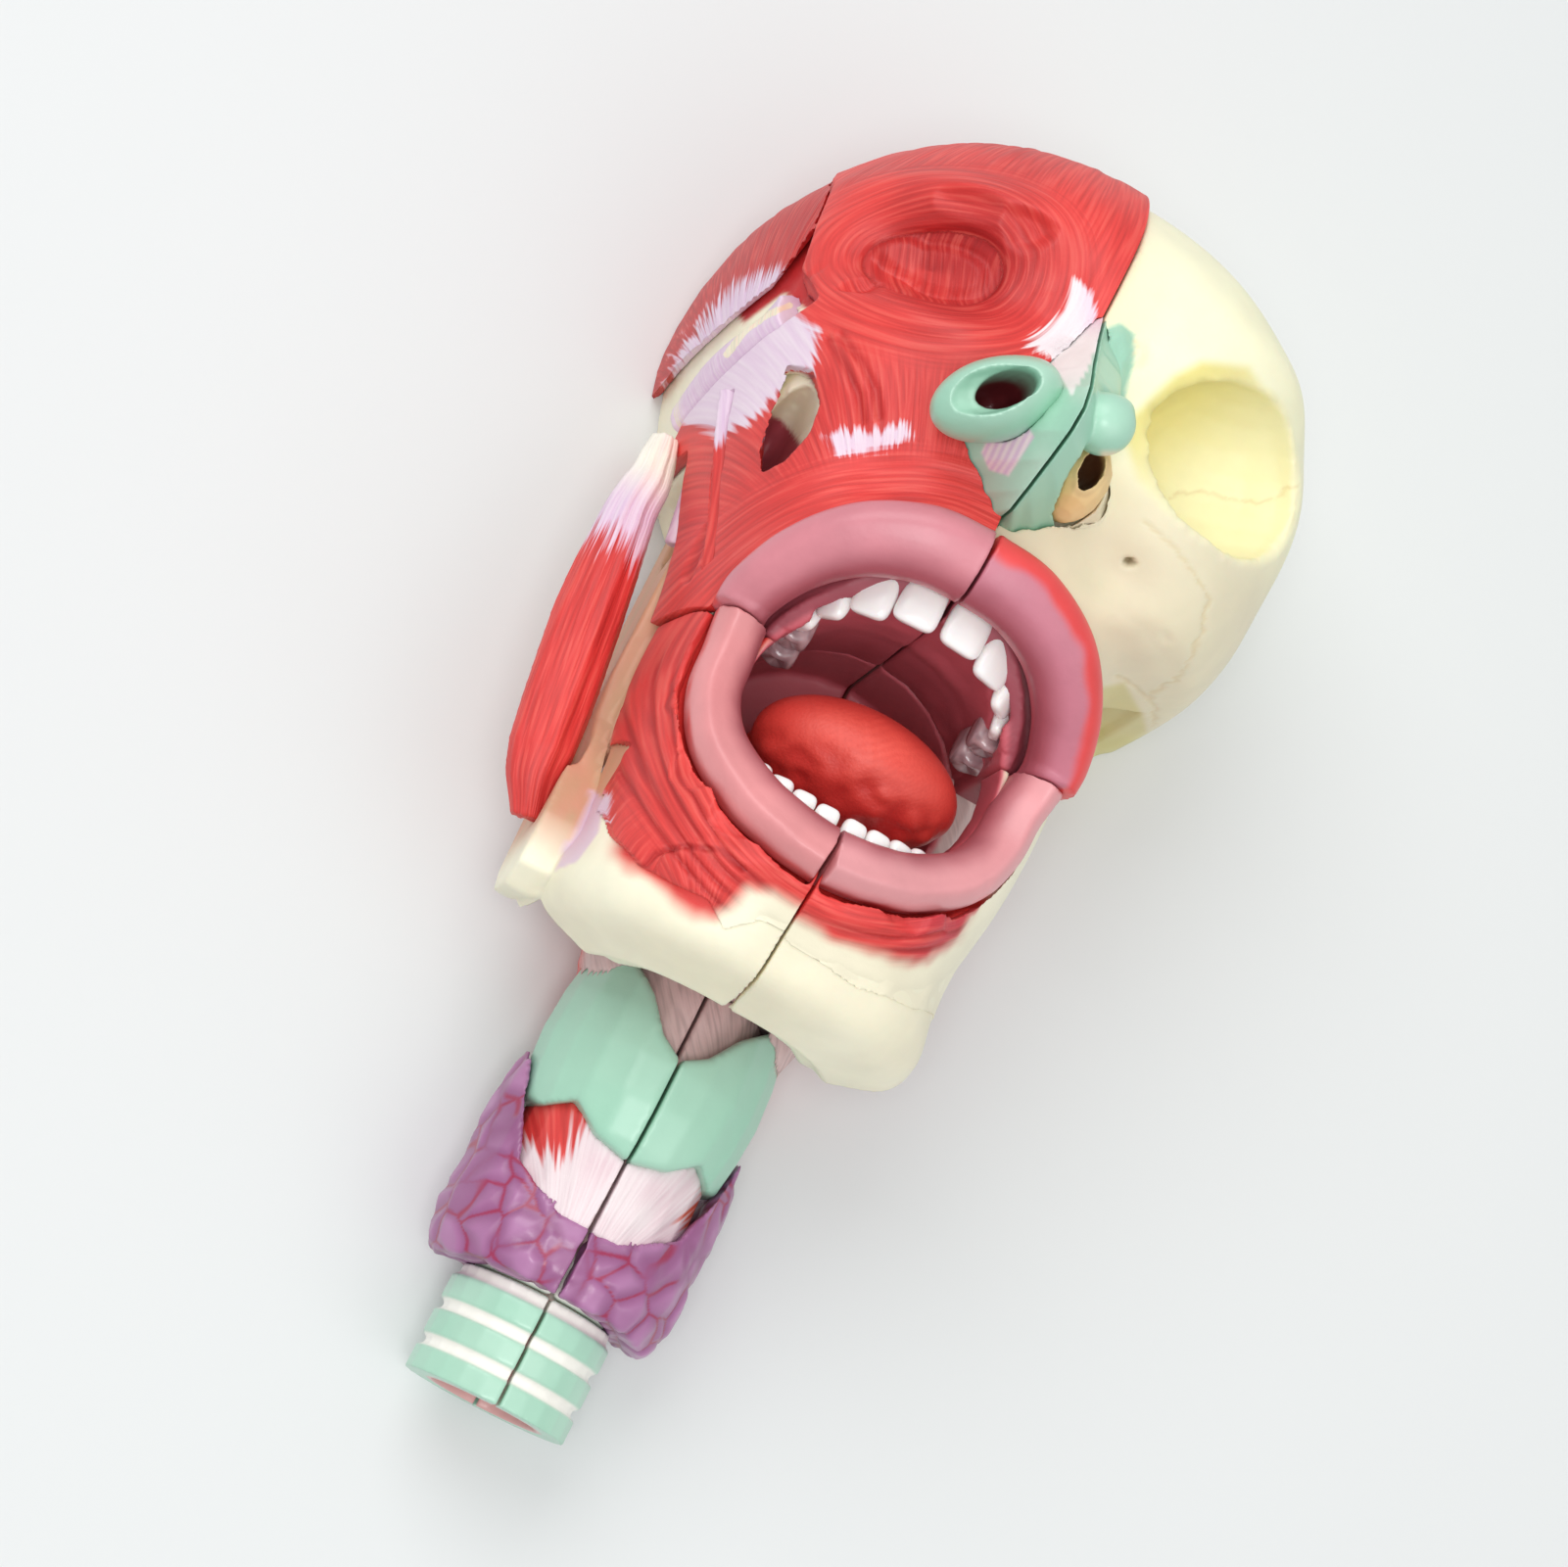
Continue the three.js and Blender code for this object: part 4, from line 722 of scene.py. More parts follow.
def face_muscles():
    piece, _ = shaped("right_face_muscles", "face_muscle_sheet", 0.6, 2)
    p, on_skin = faired(piece, RIGHT_BODY, reach=2.8)
    x, y, _ = p.T
    under, over, share = face_flow(p)
    seen = pictured(p)
    pale = np.maximum.reduce([
        1.3 * outlined(seen, CHEEK_TENDON) + 1.2,
        1.5 * outlined(seen, LIP_TENDON),
        1.8 * outlined(seen, BROW_TENDON),
    ])
    depth, out = skin_depth(RIGHT_BODY, p)
    crease = drawn(seen, FOLDS, 1.0, 7.0)
    cord = ropes(under, 2) * (1 - share) + ropes(over, 3) * share
    ring, eye_turn = eye_place(p)
    lid_edge = np.exp(-((ring - LID) / 0.9) ** 2)
    rise = ((cord - ROPE_MEAN) * 0.6 - 0.9 * crease - 0.7 * lid_edge) * on_skin
    shifted(piece, p, out * rise[:, None])
    # painted shade: the eye's hollow darker, more on one side of it, along the lid's edge and in the folds
    shade = 0.75 * (1 - smooth(5, 23, ring)) * (0.75 + 0.4 * np.sin(eye_turn + 0.6)) + 0.25 * lid_edge
    colour = mix(muscle_tone(p), RED_SHADE, np.clip(shade + 0.5 * crease, 0, 1))
    upright = (normals_of(piece) * out).sum(1)
    inner = smooth(2.4, 3.2, depth) * (1 - on_skin) * smooth(0.75, 0.4, upright)
    colour = mix(colour, MAROON_DEEP, inner)
    in_pit = (inner > 0.4) & (x < -35) & (y < 240)
    colour = np.where(in_pit[:, None], pit_tone(seen, colour), colour)
    pale = np.where(inner > 0.3, NO_TENDON, pale)
    brow = smooth(1120, 1095, seen[:, 0]) * smooth(1000, 1050, seen[:, 0])
    fibred(piece, colour, under, over, share, pale, mix(LAVENDER, TENDON, 0.2 + 0.6 * brow), calm=inner)
    finished(piece, "right_half", "muscle")


TEMPLE_INSET = 1.6
TEMPLE_HUB = (-60.0, 222.0, 80.0)


def temple_muscle():
    piece, _ = shaped("right_temple_muscle", "temple_muscle_plate", 0.6, 2)
    p, on_skin = faired(piece, RIGHT_BODY, inset=TEMPLE_INSET, reach=1.7)
    x, y, z = p.T
    turn = np.arctan2(y - TEMPLE_HUB[1], -(x - TEMPLE_HUB[0]) + 0.9 * (TEMPLE_HUB[2] - z))
    flow = run_of(turn * 62, np.hypot(y - TEMPLE_HUB[1], z - TEMPLE_HUB[2]))
    _, out = skin_depth(RIGHT_BODY, p, TEMPLE_INSET)
    pushed(piece, p, out, corded(flow, 8, 0.7) * on_skin)
    pale = outlined(pictured(p), TEMPLE_TENDON) + 2.0
    fibred(piece, mix(muscle_tone(p, 2), RED_DARK, [0.8]), flow, pale=pale)
    finished(piece, "right_half", "muscle")


def bone_tone(p, base=CREAM, shade=CREAM_SHADE, seed=0.0):
    return mix(base, shade, smooth(0.35, 0.85, noise(p, 22.0, seed)) * 0.4)


TEMPLE_WEDGE = [
    (735, 300), (800, 230), (900, 160), (940, 220), (860, 330), (826, 318), (800, 300), (760, 330),
]
PIT_CENTRE = np.array([-49.5, 218, 92])
PIT_RADII = (5.4, 12.4, 24.5)


def right_skull():
    piece, p = shaped("right_skull", "covered_skull", 1.1, 3)
    colour = bone_tone(p, CREAM, CREAM_SHADE, 2)
    pit = 1 - smooth(1.0, 1.25, np.linalg.norm((p - PIT_CENTRE) / PIT_RADII, axis=1))
    pit = pit * (p[:, 2] > 60)
    colour = mix(colour, MAROON_DEEP, pit)
    seen = pictured(p)
    colour = np.where((pit > 0)[:, None], pit_tone(seen, colour), colour)
    colour = mix(colour, RED_DARK, filled(seen, TEMPLE_WEDGE, -2, 3) * (p[:, 2] > 40))
    finished(piece, "right_half", "bone", colour)


ARCH_STRIP = [(806, 312), (782, 322), (760, 338), (742, 362)]
ARCH_RUN = np.array([-12.0, -22.3, -46.0]) / 52.5


def cheek_arch():
    piece, p = shaped("right_cheek_arch", "cheek_arch_bone", 0.6, 10)
    p = flush(p, 0.7)
    put_points(piece, p)
    flow = run_of(p @ ARCH_RUN, p[:, 1] + 0.6 * p[:, 2])
    strip = drawn(pictured(p), [ARCH_STRIP], 2.0, 6.0)
    pale = 5.0 - 8 * strip - 5 * smooth(52, 42, p[:, 2])
    fibred(piece, bone_tone(p, CREAM_WARM, CREAM_SHADE, 3), flow, pale=pale)
    finished(piece, "right_half", "bone", look="ligament")


STRAP_SLANT = math.radians(16)
STRAP_TENDON_END = 446  # the row of the photograph where the strap's tendon ends


def cheek_strap():
    piece, p = shaped("right_cheek_strap", "cheek_strap_muscle", 0.5, 10)
    flow = run_of(p[:, 0] * math.cos(STRAP_SLANT) + p[:, 1] * math.sin(STRAP_SLANT), p[:, 1])
    p = p + normals_of(piece) * corded(flow, 9, 0.5)[:, None]
    put_points(piece, flush(p, 0.2 + 0.7 * smooth(200, 222, p[:, 1])))
    pale = (STRAP_TENDON_END - pictured(p)[:, 1]) / PIXELS_PER_MM
    fibred(piece, muscle_tone(p, 3), flow, pale=pale)
    finished(piece, "right_half", "muscle")


MASSETER_LINE = [
    [-69.5, 219.5, 43], [-68.5, 208, 48], [-66.5, 190, 51], [-64.5, 170, 52], [-62, 150, 53],
    [-59.5, 133, 53], [-57, 120, 52],
]
MASSETER_GIRTH = 8.0


def masseter():
    piece, p = shaped("right_masseter", "masseter_muscle", 0.6, 12)
    n = normals_of(piece)
    x, y, z = p.T
    line = curve_through(MASSETER_LINE, 12)[::-1]
    turn = np.arctan2(z - np.interp(y, line[:, 1], line[:, 2]), x - np.interp(y, line[:, 1], line[:, 0]))
    girth = MASSETER_GIRTH / CORD
    flow = np.stack([np.cos(turn) * girth, np.sin(turn) * girth, y / RUN], axis=1)
    cord = noise(flow * (0.34, 0.34, 0.5), 1.0, 10)
    aside = 1.8 * smooth(118, 130, y) * smooth(210, 196, y)
    put_points(piece, p + n * ((cord - ROPE_MEAN) * 0.9)[:, None] - np.outer(aside, SIDEWARD))
    tones = mix(LAVENDER, TENDON_WARM, smooth(196, 212, y))
    fibred(piece, muscle_tone(p, 4), flow, pale=(y - 187) / 2.6, pale_tone=tones)
    finished(piece, "right_jaw", "muscle")


def coronoid_tendon():
    piece, p = shaped("right_coronoid_tendon", "coronoid_tendon_band", 0.5, 8)
    fibred(piece, TENDON_MAUVE, run_of(p[:, 0], p[:, 1]), pale=-NO_TENDON, pale_tone=TENDON_MAUVE)
    finished(piece, "right_jaw", "tendon", look="ligament")


# Left skull

ORBIT_CENTRE = np.array([45, 259.5, 106])
ORBIT_RADII = np.array([27, 19.5, 25])
ORBIT_TURN, ORBIT_LEAN = 0.5, 0.27
SUTURES = [
    [(1165, 530), (1200, 560), (1222, 590), (1236, 612), (1230, 640), (1205, 690), (1170, 715)],
    [(1190, 508), (1225, 500), (1262, 512), (1290, 512), (1325, 495)],
    [(1150, 340), (1162, 352), (1150, 380)],
    [(1140, 690), (1160, 702), (1180, 722), (1176, 742)],
]
FORAMEN = (1153, 574)
ORBIT_EDGE = [
    (1147, 449), (1156, 423), (1198, 382), (1227, 367), (1276, 373), (1300, 407), (1321, 449),
    (1327, 490), (1311, 526), (1294, 563), (1262, 574), (1225, 550), (1184, 520), (1160, 490),
]
NOSE_PLATE = [
    (1108, 356), (1122, 338), (1144, 329), (1158, 341), (1158, 372), (1150, 398), (1148, 424),
    (1112, 430), (1100, 400),
]
REAR_ARCH = [(1112, 704), (1148, 696), (1168, 730), (1172, 748), (1146, 764), (1104, 768), (1096, 734)]


def in_orbit(p):
    """Distance from the middle of the eye socket's ball: 1 on its wall."""
    x, y, z = (p - ORBIT_CENTRE).T
    x, y = turned(x, y, ORBIT_LEAN)
    z, x = turned(z, x, ORBIT_TURN)
    return np.linalg.norm(np.stack([x, y, z], axis=1) / ORBIT_RADII, axis=1)


def left_skull():
    piece, kept = shaped("left_skull", "bare_skull", 0.9, 3)
    far = in_orbit(kept) > 1.04
    p, _ = faired(piece, LEFT_BODY, reach=2.0)
    bowl = in_orbit(put_points(piece, np.where(far[:, None], p, kept)))
    rim = (bowl < 1.16) & (bowl > 0.93)
    relaxed(piece, 14, free=rim.astype(float))
    p = relaxed(piece, 4)
    n = normals_of(piece)
    x, y, z = p.T
    seen = pictured(p)
    facing = n @ CAMERA_BACK > 0.15
    wobble = (noise(p, 2.2, 5) - 0.5) * 7
    crack = drawn(seen + wobble[:, None], SUTURES, 0.8, 2.6) * facing
    hole = 1 - smooth(3.0, 7.5, np.linalg.norm((seen - FORAMEN) * (1.0, 1.3), axis=1))
    hole = hole * facing * (z > 70)
    plate = inside(seen, NOSE_PLATE) + 1.0
    bulge = 2.4 * smooth(0, 16, plate) * smooth(92, 104, z)
    put_points(piece, p - n * (0.3 * crack + 2.2 * hole)[:, None] + np.outer(bulge, UPWARD))
    deep = np.maximum(1 - smooth(0.98, 1.12, in_orbit(p)), filled(seen, ORBIT_EDGE, -5, 9) * facing)
    # painted shade: the eye socket darker yellow towards its upper left side
    shade = smooth(50, -60, (seen[:, 0] - 1215) * 0.6 + (seen[:, 1] - 450) * 0.8)
    colour = bone_tone(p, SKULL, CREAM, 1)
    for coat, share in (
        (SKULL_WARM, 0.9 * smooth(262, 235, y + 0.25 * (60 - np.abs(x)))),
        (mix(ORBIT, ORBIT_SHADE, shade), deep * (z > 60)),
        (SUTURE, crack * 0.4),
        (mix(MINT, MINT_LIGHT, [0.3]), smooth(-1, 4, plate) * (z > 90)),
        # painted shade of the gap behind the end of the upper jaw
        (REAR_GAP_SHADE, filled(seen, REAR_ARCH, -3, 5) * 0.8),
        # painted shade in the small hollow of the foramen
        (FORAMEN_SHADE, hole * 0.9),
        # painted shade where the skull's lower part comes near the table
        (SKULL_SHADE, smooth(34, 18, z) * smooth(240, 228, y) * 0.8),
    ):
        colour = mix(colour, coat, share)
    finished(piece, "left_half", "bone", colour)


# Nose

ALAR_MIDDLE = np.array([-15.5, 234.5, 132])
ALAR_RADII = (14.5, 9, 13)
ALAR_LEAN = 0.7


def blot(seen, x, y, wide, tall):
    """A soft spot of 1 at a place in the picture."""
    return np.exp(-(((seen[:, 0] - x) / wide) ** 2 + ((seen[:, 1] - y) / tall) ** 2))


def lit_mint_tone(p, n, seed):
    # painted highlight: lighter where the surface faces up
    return mix(MINT, MINT_LIGHT, smooth(0.2, 1.0, n[:, 2]) * (0.4 + 0.4 * noise(p, 9.0, seed)))


def alar_cartilage():
    piece, _ = shaped("right_alar_cartilage", "alar_wing", 0.45, 4)
    rounded(piece, ALAR_MIDDLE, ALAR_RADII, ALAR_LEAN, reach=0.1)
    p = relaxed(piece, 7, swing=0.5)
    n = normals_of(piece)
    u, v = turned(p[:, 0] - ALAR_MIDDLE[0], p[:, 1] - ALAR_MIDDLE[1], ALAR_LEAN)
    seen = pictured(p)
    pushed(piece, p, UPWARD, 2.6 * blot(seen, 1064, 384, 26, 28) - 2.0 * blot(seen, 968, 418, 24, 28))
    hole = 1 - smooth(0.86, 1.08, np.hypot(u / 6.2, v / 4.0))
    hole *= smooth(141.5, 138.5, p[:, 2])
    # painted shade inside the wing's hole
    colour = mix(lit_mint_tone(p, n, 3), ALAR_HOLE_SHADE, hole)
    finished(piece, "right_half", "cartilage", colour)


NOSE_WHITE = [
    (1040, 356), (1062, 338), (1086, 318), (1112, 296), (1140, 300), (1124, 340), (1108, 378),
    (1094, 400), (1084, 384), (1070, 366),
]
NOSE_PATCH = [(1012, 440), (1050, 436), (1056, 446), (1030, 486), (1010, 480), (1002, 462)]


def nose_bridge():
    piece, p = shaped("right_nose_bridge", "nasal_band", 0.5, 10)
    seen = pictured(p)
    streak = strands(p[:, 0] + 0.2 * p[:, 1], p[:, 1], 5, 1.3)
    white = smooth(-3, 2, inside(seen, NOSE_WHITE) + 3 * streak)
    colour = mix(MINT, MINT_LIGHT, noise(p, 9.0, 3))
    colour = mix(colour, mix(NASAL_WHITE, NASAL_BLUSH, smooth(350, 318, seen[:, 1])), white)
    colour = mix(colour, mix(PATCH_PALE, LAVENDER, streak), filled(seen, NOSE_PATCH, -2, 2))
    finished(piece, "right_half", "tendon", colour)


PLATE_WIDENING = 5.5
DOME_MIDDLE, DOME_RADIUS = (7.5, 241, 135), 7.2


def nose_cartilage():
    piece, _ = shaped("left_nose_cartilage", "nose_cartilage_plate", 0.5, 4)
    rounded(piece, DOME_MIDDLE, (DOME_RADIUS,) * 3)
    p = points_of(piece)
    flank = smooth(245, 253, p[:, 1]) * smooth(272, 262, p[:, 1]) * smooth(1.0, 4.0, p[:, 0])
    pushed(piece, p, SIDEWARD, PLATE_WIDENING * flank)
    p = relaxed(piece, 22, swing=0.75)
    right, down = pictured(p).T
    beside = smooth(1120, 1128, right) * smooth(456, 466, down)
    below = smooth(1080, 1090, right) * smooth(502, 514, down)
    colour = mix(lit_mint_tone(p, normals_of(piece), 4), SKULL_WARM, np.maximum(beside, below))
    finished(piece, "left_half", "cartilage", colour)


def nostril_rim():
    piece, p = shaped("left_nostril_rim", "nostril_rim_band", 0.4, 10)
    slit = 1 - smooth(1.0, 1.25, np.hypot((p[:, 0] - 11.5) / 3.2, (p[:, 1] - 234) / 5.7))
    colour = mix(OCHRE, OCHRE_LIGHT, noise(p, 6.0, 2))
    # painted shade, darker deeper down the slit
    colour = mix(colour, OCHRE_SLIT_SHADE, slit * smooth(127, 121, p[:, 2]))
    finished(piece, "left_half", "nostril", colour)


# Mouth

UPPER_LIP = [
    [0, 201.5, 117], [12, 200.5, 116.5], [24, 196, 112], [33, 188, 104], [38, 178, 95], [38.6, 170, 91],
]
LOWER_LIP = [
    [38.4, 179, 94], [38.4, 168, 91.5], [37.5, 156, 93], [32, 144.5, 99], [21, 136, 105], [10, 132, 109],
    [0, 130.5, 110.5],
]
UPPER_LIP_WIDTHS = [1.18, 1.18, 1.12, 1.02, 0.92, 0.9]
LOWER_LIP_WIDTHS = [0.9, 0.9, 0.92, 0.96, 1, 1, 1]
LIP_HALF_WIDTH, LIP_HALF_THICK = 7.2, 8.5
LIP_POWER = 3.0
LIP_SLOPE = 0.34
LIP_SPLIT, LIP_SPLIT_HALF = 174.5, 0.175  # the cut between the upper and the lower lips
# How far a lip reaches inward and outward, as a share of its bar, and how far it shifts outward
LIP_REACH = {"upper": (0.84, 1.12, 1.2), "lower": (1.0, 0.84, -0.8)}
LIP_CORNER = (0.92, 0.98, 0.0)
LIP_DROP = {"upper": 1.6, "lower": 2.8}  # how far the outer edge comes down to the muscle
# Colour of a lip, colour of its outer edge, and where across the lip that edge starts
LIP_TONES = {
    "right_upper": (LIP_MAUVE, RED, 0.78),
    "left_upper": (LIP_ROSE, RED, 0.2),
    "right_lower": (LIP_PINK, RED, 0.86),
    "left_lower": (LIP_PEACH, RED_DARK, 0.8),
}
CARRIER = {"upper": "_half", "lower": "_jaw"}


def lip_frame(p, side, rows):
    """Where each point lies round the lip's line: along it, outward and up, and both directions."""
    line = curve_through(np.array(rows) * (side, 1, 1), 40)
    # The line goes on past both of its ends.
    line = np.vstack([line[0] + (line[0] - line[1]) * 30, line, line[-1] + (line[-1] - line[-2]) * 30])
    nearest = np.concatenate([
        np.argmin(((block[:, None] - line[None]) ** 2).sum(2), axis=1)
        for block in np.array_split(p, len(p) // 4000 + 1)
    ])
    ahead = np.clip(nearest + 1, 1, len(line) - 1)
    tangent = line[ahead] - line[ahead - 1]
    tangent /= np.linalg.norm(tangent, axis=1)[:, None]
    across = np.cross(UPWARD, tangent)
    across /= np.linalg.norm(across, axis=1)[:, None]
    flip = np.sign((across[:, :2] * (line[nearest][:, :2] - MOUTH)).sum(1))
    across *= flip[:, None]
    above = np.cross(tangent, across) * flip[:, None]
    offset = p - line[nearest]
    return nearest / (len(line) - 1), (offset * across).sum(1), (offset * above).sum(1), across, above


def lip(word, side, level, rows, widths):
    piece, p = shaped(f"{word}_{level}_lip", "{}_quarter", 0.7, 6)
    t, a, u, across, above = lip_frame(p, side, rows)
    width = LIP_HALF_WIDTH * np.interp(t, np.linspace(0, 1, len(widths)), widths)
    angle = np.arctan2(u / LIP_HALF_THICK, a / width)
    size = (np.abs(np.cos(angle)) ** LIP_POWER + np.abs(np.sin(angle)) ** LIP_POWER) ** (-1 / LIP_POWER)
    radial = np.hypot(a / width, u / LIP_HALF_THICK)
    on_skin = smooth(0.8, 0.9, radial)
    grow = 1 + (size / np.maximum(radial, 0.1) - 1) * on_skin
    corner = smooth(0.75, 1.0, t) if level == "upper" else smooth(0.25, 0.0, t)
    inward, outward, shift_out = (
        own * (1 - corner) + shared * corner for own, shared in zip(LIP_REACH[level], LIP_CORNER)
    )
    wide = a * grow * np.where(a < 0, inward, outward) + shift_out
    high = u * grow * 0.86 + LIP_SLOPE * a * grow * smooth(-0.3, 0.6, u / LIP_HALF_THICK)
    high -= LIP_DROP[level] * smooth(0.3, 1.0, a * grow / width) * smooth(-0.2, 0.6, u / LIP_HALF_THICK)
    shift = across * (wide - a)[:, None] + above * (high - u)[:, None]
    shift[np.abs(np.abs(p[:, 1] - LIP_SPLIT) - LIP_SPLIT_HALF) < 0.35, 1] = 0
    shifted(piece, p, shift)
    p = relaxed(piece, 5)
    share = a / width + 0.2 * (noise(p, 5.0, 7) - 0.5)
    skin, rim, start = LIP_TONES[word + "_" + level]
    colour = mix(skin, LIP_INNER, 0.85 * smooth(-0.1, -0.9, share))
    colour = mix(colour, rim, 0.9 * smooth(start, start + 0.22, share))
    colour *= (0.95 + 0.1 * noise(p, 11.0, 5))[:, None]
    deep = smooth(-0.6, -1.0, a / width) * smooth(0.2, -0.6, u / LIP_HALF_THICK)
    finished(piece, word + CARRIER[level], "lip", mix(colour, MAROON, deep))


def in_mouth(p):
    return np.hypot(p[:, 0] / 31.5, (p[:, 1] - MOUTH[1]) / 28.5)


def cheek_wall(word):
    piece, p = shaped(word + "_cheek_wall", "{}_lining", 0.8, 4)
    _, y, z = p.T
    inner = 1 - smooth(1.02, 1.06, in_mouth(p))
    folds = noise(p * (0.5, 1, 1), 7.0, 8) * inner * (y > 178)
    pushed(piece, p, normals_of(piece), 0.9 * folds)
    lining = mix(LIP_INNER, RED * 0.85, smooth(1.4, 1.55, in_mouth(p)))
    # painted shade: the lining darker deeper in the mouth
    colour = mix(lining, mix(MAROON, MAROON_DEEP, smooth(90, 60, z)), inner)
    colour = mix(colour, GUM, smooth(94, 104, z) * inner * smooth(178, 183, y))
    colour *= (0.92 + 0.16 * noise(p, 7.0, 3))[:, None]
    finished(piece, word + "_half", "muscle", colour, "mouth")


def throat_slant(p):
    """Fibres that wind round the throat column."""
    girth = np.arctan2(p[:, 0], p[:, 2] - 20) * 22
    return run_of(0.8 * girth + 0.55 * p[:, 1], p[:, 1] - girth)


def membrane_tone(p):
    return mix(MEMBRANE, MEMBRANE_PALE, 0.5 * noise(p, 12.0, 2))


def pharynx_wall(word):
    piece, p = shaped(word + "_pharynx_wall", "{}_column", 0.8, 4)
    x, y, z = p.T
    inner = (1 - smooth(1.02, 1.08, in_mouth(p))) * (z > 24)
    behind = smooth(30, 16, z)
    back = run_of(y + 0.5 * np.abs(x), x)
    outer = mix(membrane_tone(p), muscle_tone(p, 5), behind)
    pushed(piece, p, normals_of(piece), corded(back, 4, 0.7) * behind * (z > 1.5) * (np.abs(x) > 1))
    fibred(piece, mix(outer, MAROON, inner), throat_slant(p), back, behind, calm=inner)
    finished(piece, word + "_half", "membrane")


# Teeth from the middle outwards: width, and 1 for a molar
UPPER_TEETH = [(10.8, 0), (9.8, 0), (8.8, 0), (7.8, 0), (8.6, 1), (9.2, 1)]
LOWER_TEETH = [(5.8, 0), (6.0, 0), (6.2, 0), (6.2, 0), (6.4, 0), (6.6, 0), (8.6, 1), (9.2, 1)]
UPPER_ARCH = [
    [24.6, 174, 66], [25.4, 177, 78], [24.8, 181.5, 90], [20, 185.5, 99.5], [11, 188.5, 105],
    [0.4, 190, 107.3],
]
LOWER_ARCH = [
    [27.6, 147.5, 67], [27.8, 146.5, 78], [26.8, 144.5, 89], [21.5, 141.6, 98.5], [12, 139.2, 104],
    [0.4, 138, 106.3],
]
TOOTH_TALL = {"upper": 5.8, "lower": 4.4}
TOOTH_STAND = {"upper": -4.6, "lower": 0.3}  # mm that a row moves the way its crowns point
TOOTH_GAP = 0.1
TOOTH_RINGS, TOOTH_SPOKES = 15, 24


def signed_power(value, power):
    return np.copysign(np.abs(value) ** power, value)


def crown(centre, tangent, front, wide, tall, thick, molar, pointing):
    """One tooth: a squarish crown with rounded corners, or a molar with four cusps."""
    polar = np.linspace(0, np.pi, TOOTH_RINGS)[:, None]
    turn = np.arange(TOOTH_SPOKES)[None] * 2 * np.pi / TOOTH_SPOKES
    bulge = np.sin(polar) ** 0.42
    a = signed_power(np.cos(turn), 0.42) * bulge
    b = signed_power(np.sin(turn), 0.8) * bulge
    y = signed_power(np.cos(polar), 0.42) * np.ones_like(turn)
    edge = 0.5 + 0.5 * y
    along = a * wide / 2 * (1 - 0.06 * edge)
    deep = b * thick * (1 if molar else 0.5 + 0.5 * edge) + 0.3 * (1 - a * a)
    rise = y * tall
    if molar:
        rise = rise + 0.9 * np.cos(3.0 * a) * np.cos(3.0 * b) * (y < 0)
    place = centre + along[..., None] * tangent + deep[..., None] * front
    place[..., 1] += -pointing * rise
    return place.reshape(-1, 3)


def crown_faces(base):
    """Faces of one crown whose points start at the given number."""
    faces = []
    for r in range(TOOTH_RINGS - 1):
        low, high = base + r * TOOTH_SPOKES, base + (r + 1) * TOOTH_SPOKES
        for k in range(TOOTH_SPOKES):
            n = (k + 1) % TOOTH_SPOKES
            faces.append((low + k, low + n, high + n, high + k))
    return faces


def teeth(word, side, level, rows, row, pointing):
    node = word + "_" + level + "_teeth"
    line = curve_through(np.array(rows) * (side, 1, 1), 60)[::-1]
    run = np.concatenate([[0], np.cumsum(np.linalg.norm(np.diff(line, axis=0), axis=1))])
    crowns, faces, marks = [], [], []
    at = 0.15
    for width, molar in row:
        middle = at + width / 2
        at += width + TOOTH_GAP
        centre, ahead, before = (
            np.array([np.interp(middle + step, run, line[:, k]) for k in range(3)]) for step in (0, 1, -1)
        )
        tangent = ahead - before
        tangent[1] = 0
        tangent /= np.linalg.norm(tangent)
        front = np.array([-tangent[2], 0, tangent[0]])
        front *= 1 if front @ (centre - (0, centre[1], 60)) > 0 else -1
        centre = centre + (0, TOOTH_STAND[level] * pointing, 0)
        faces += crown_faces(len(crowns) * TOOTH_RINGS * TOOTH_SPOKES)
        thick = 4.4 if molar else 3.0
        crowns.append(crown(centre, tangent, front, width, TOOTH_TALL[level] - molar, thick, molar, pointing))
        marks.append(np.full(TOOTH_RINGS * TOOTH_SPOKES, float(molar)))
    p = np.vstack(crowns)
    p[:, 0] = side * np.maximum(side * p[:, 0], SEAM_HALF)
    mesh = bpy.data.meshes.new(node + "_crowns")
    mesh.from_pydata([tuple((v - ORIGIN) * MM) for v in p], [], faces)
    back = np.concatenate(marks)
    furrow = smooth(0.4, 0.7, noise(p, 1.6, 5)) * back
    colour = mix(mix(TOOTH, MOLAR, back * 0.95), MOLAR_FURROW, furrow * 0.6)
    piece = linked(node + "_row", mesh)
    NODE_OF[piece.name] = node
    finished(piece, word + CARRIER[level], "tooth", colour)


TONGUE_TIP = ((2, 160.5, 78), (25.5, 14, 22))  # middle and radii of each of its two swells
TONGUE_ROOT = ((-2, 161, 44), (19, 13, 30))


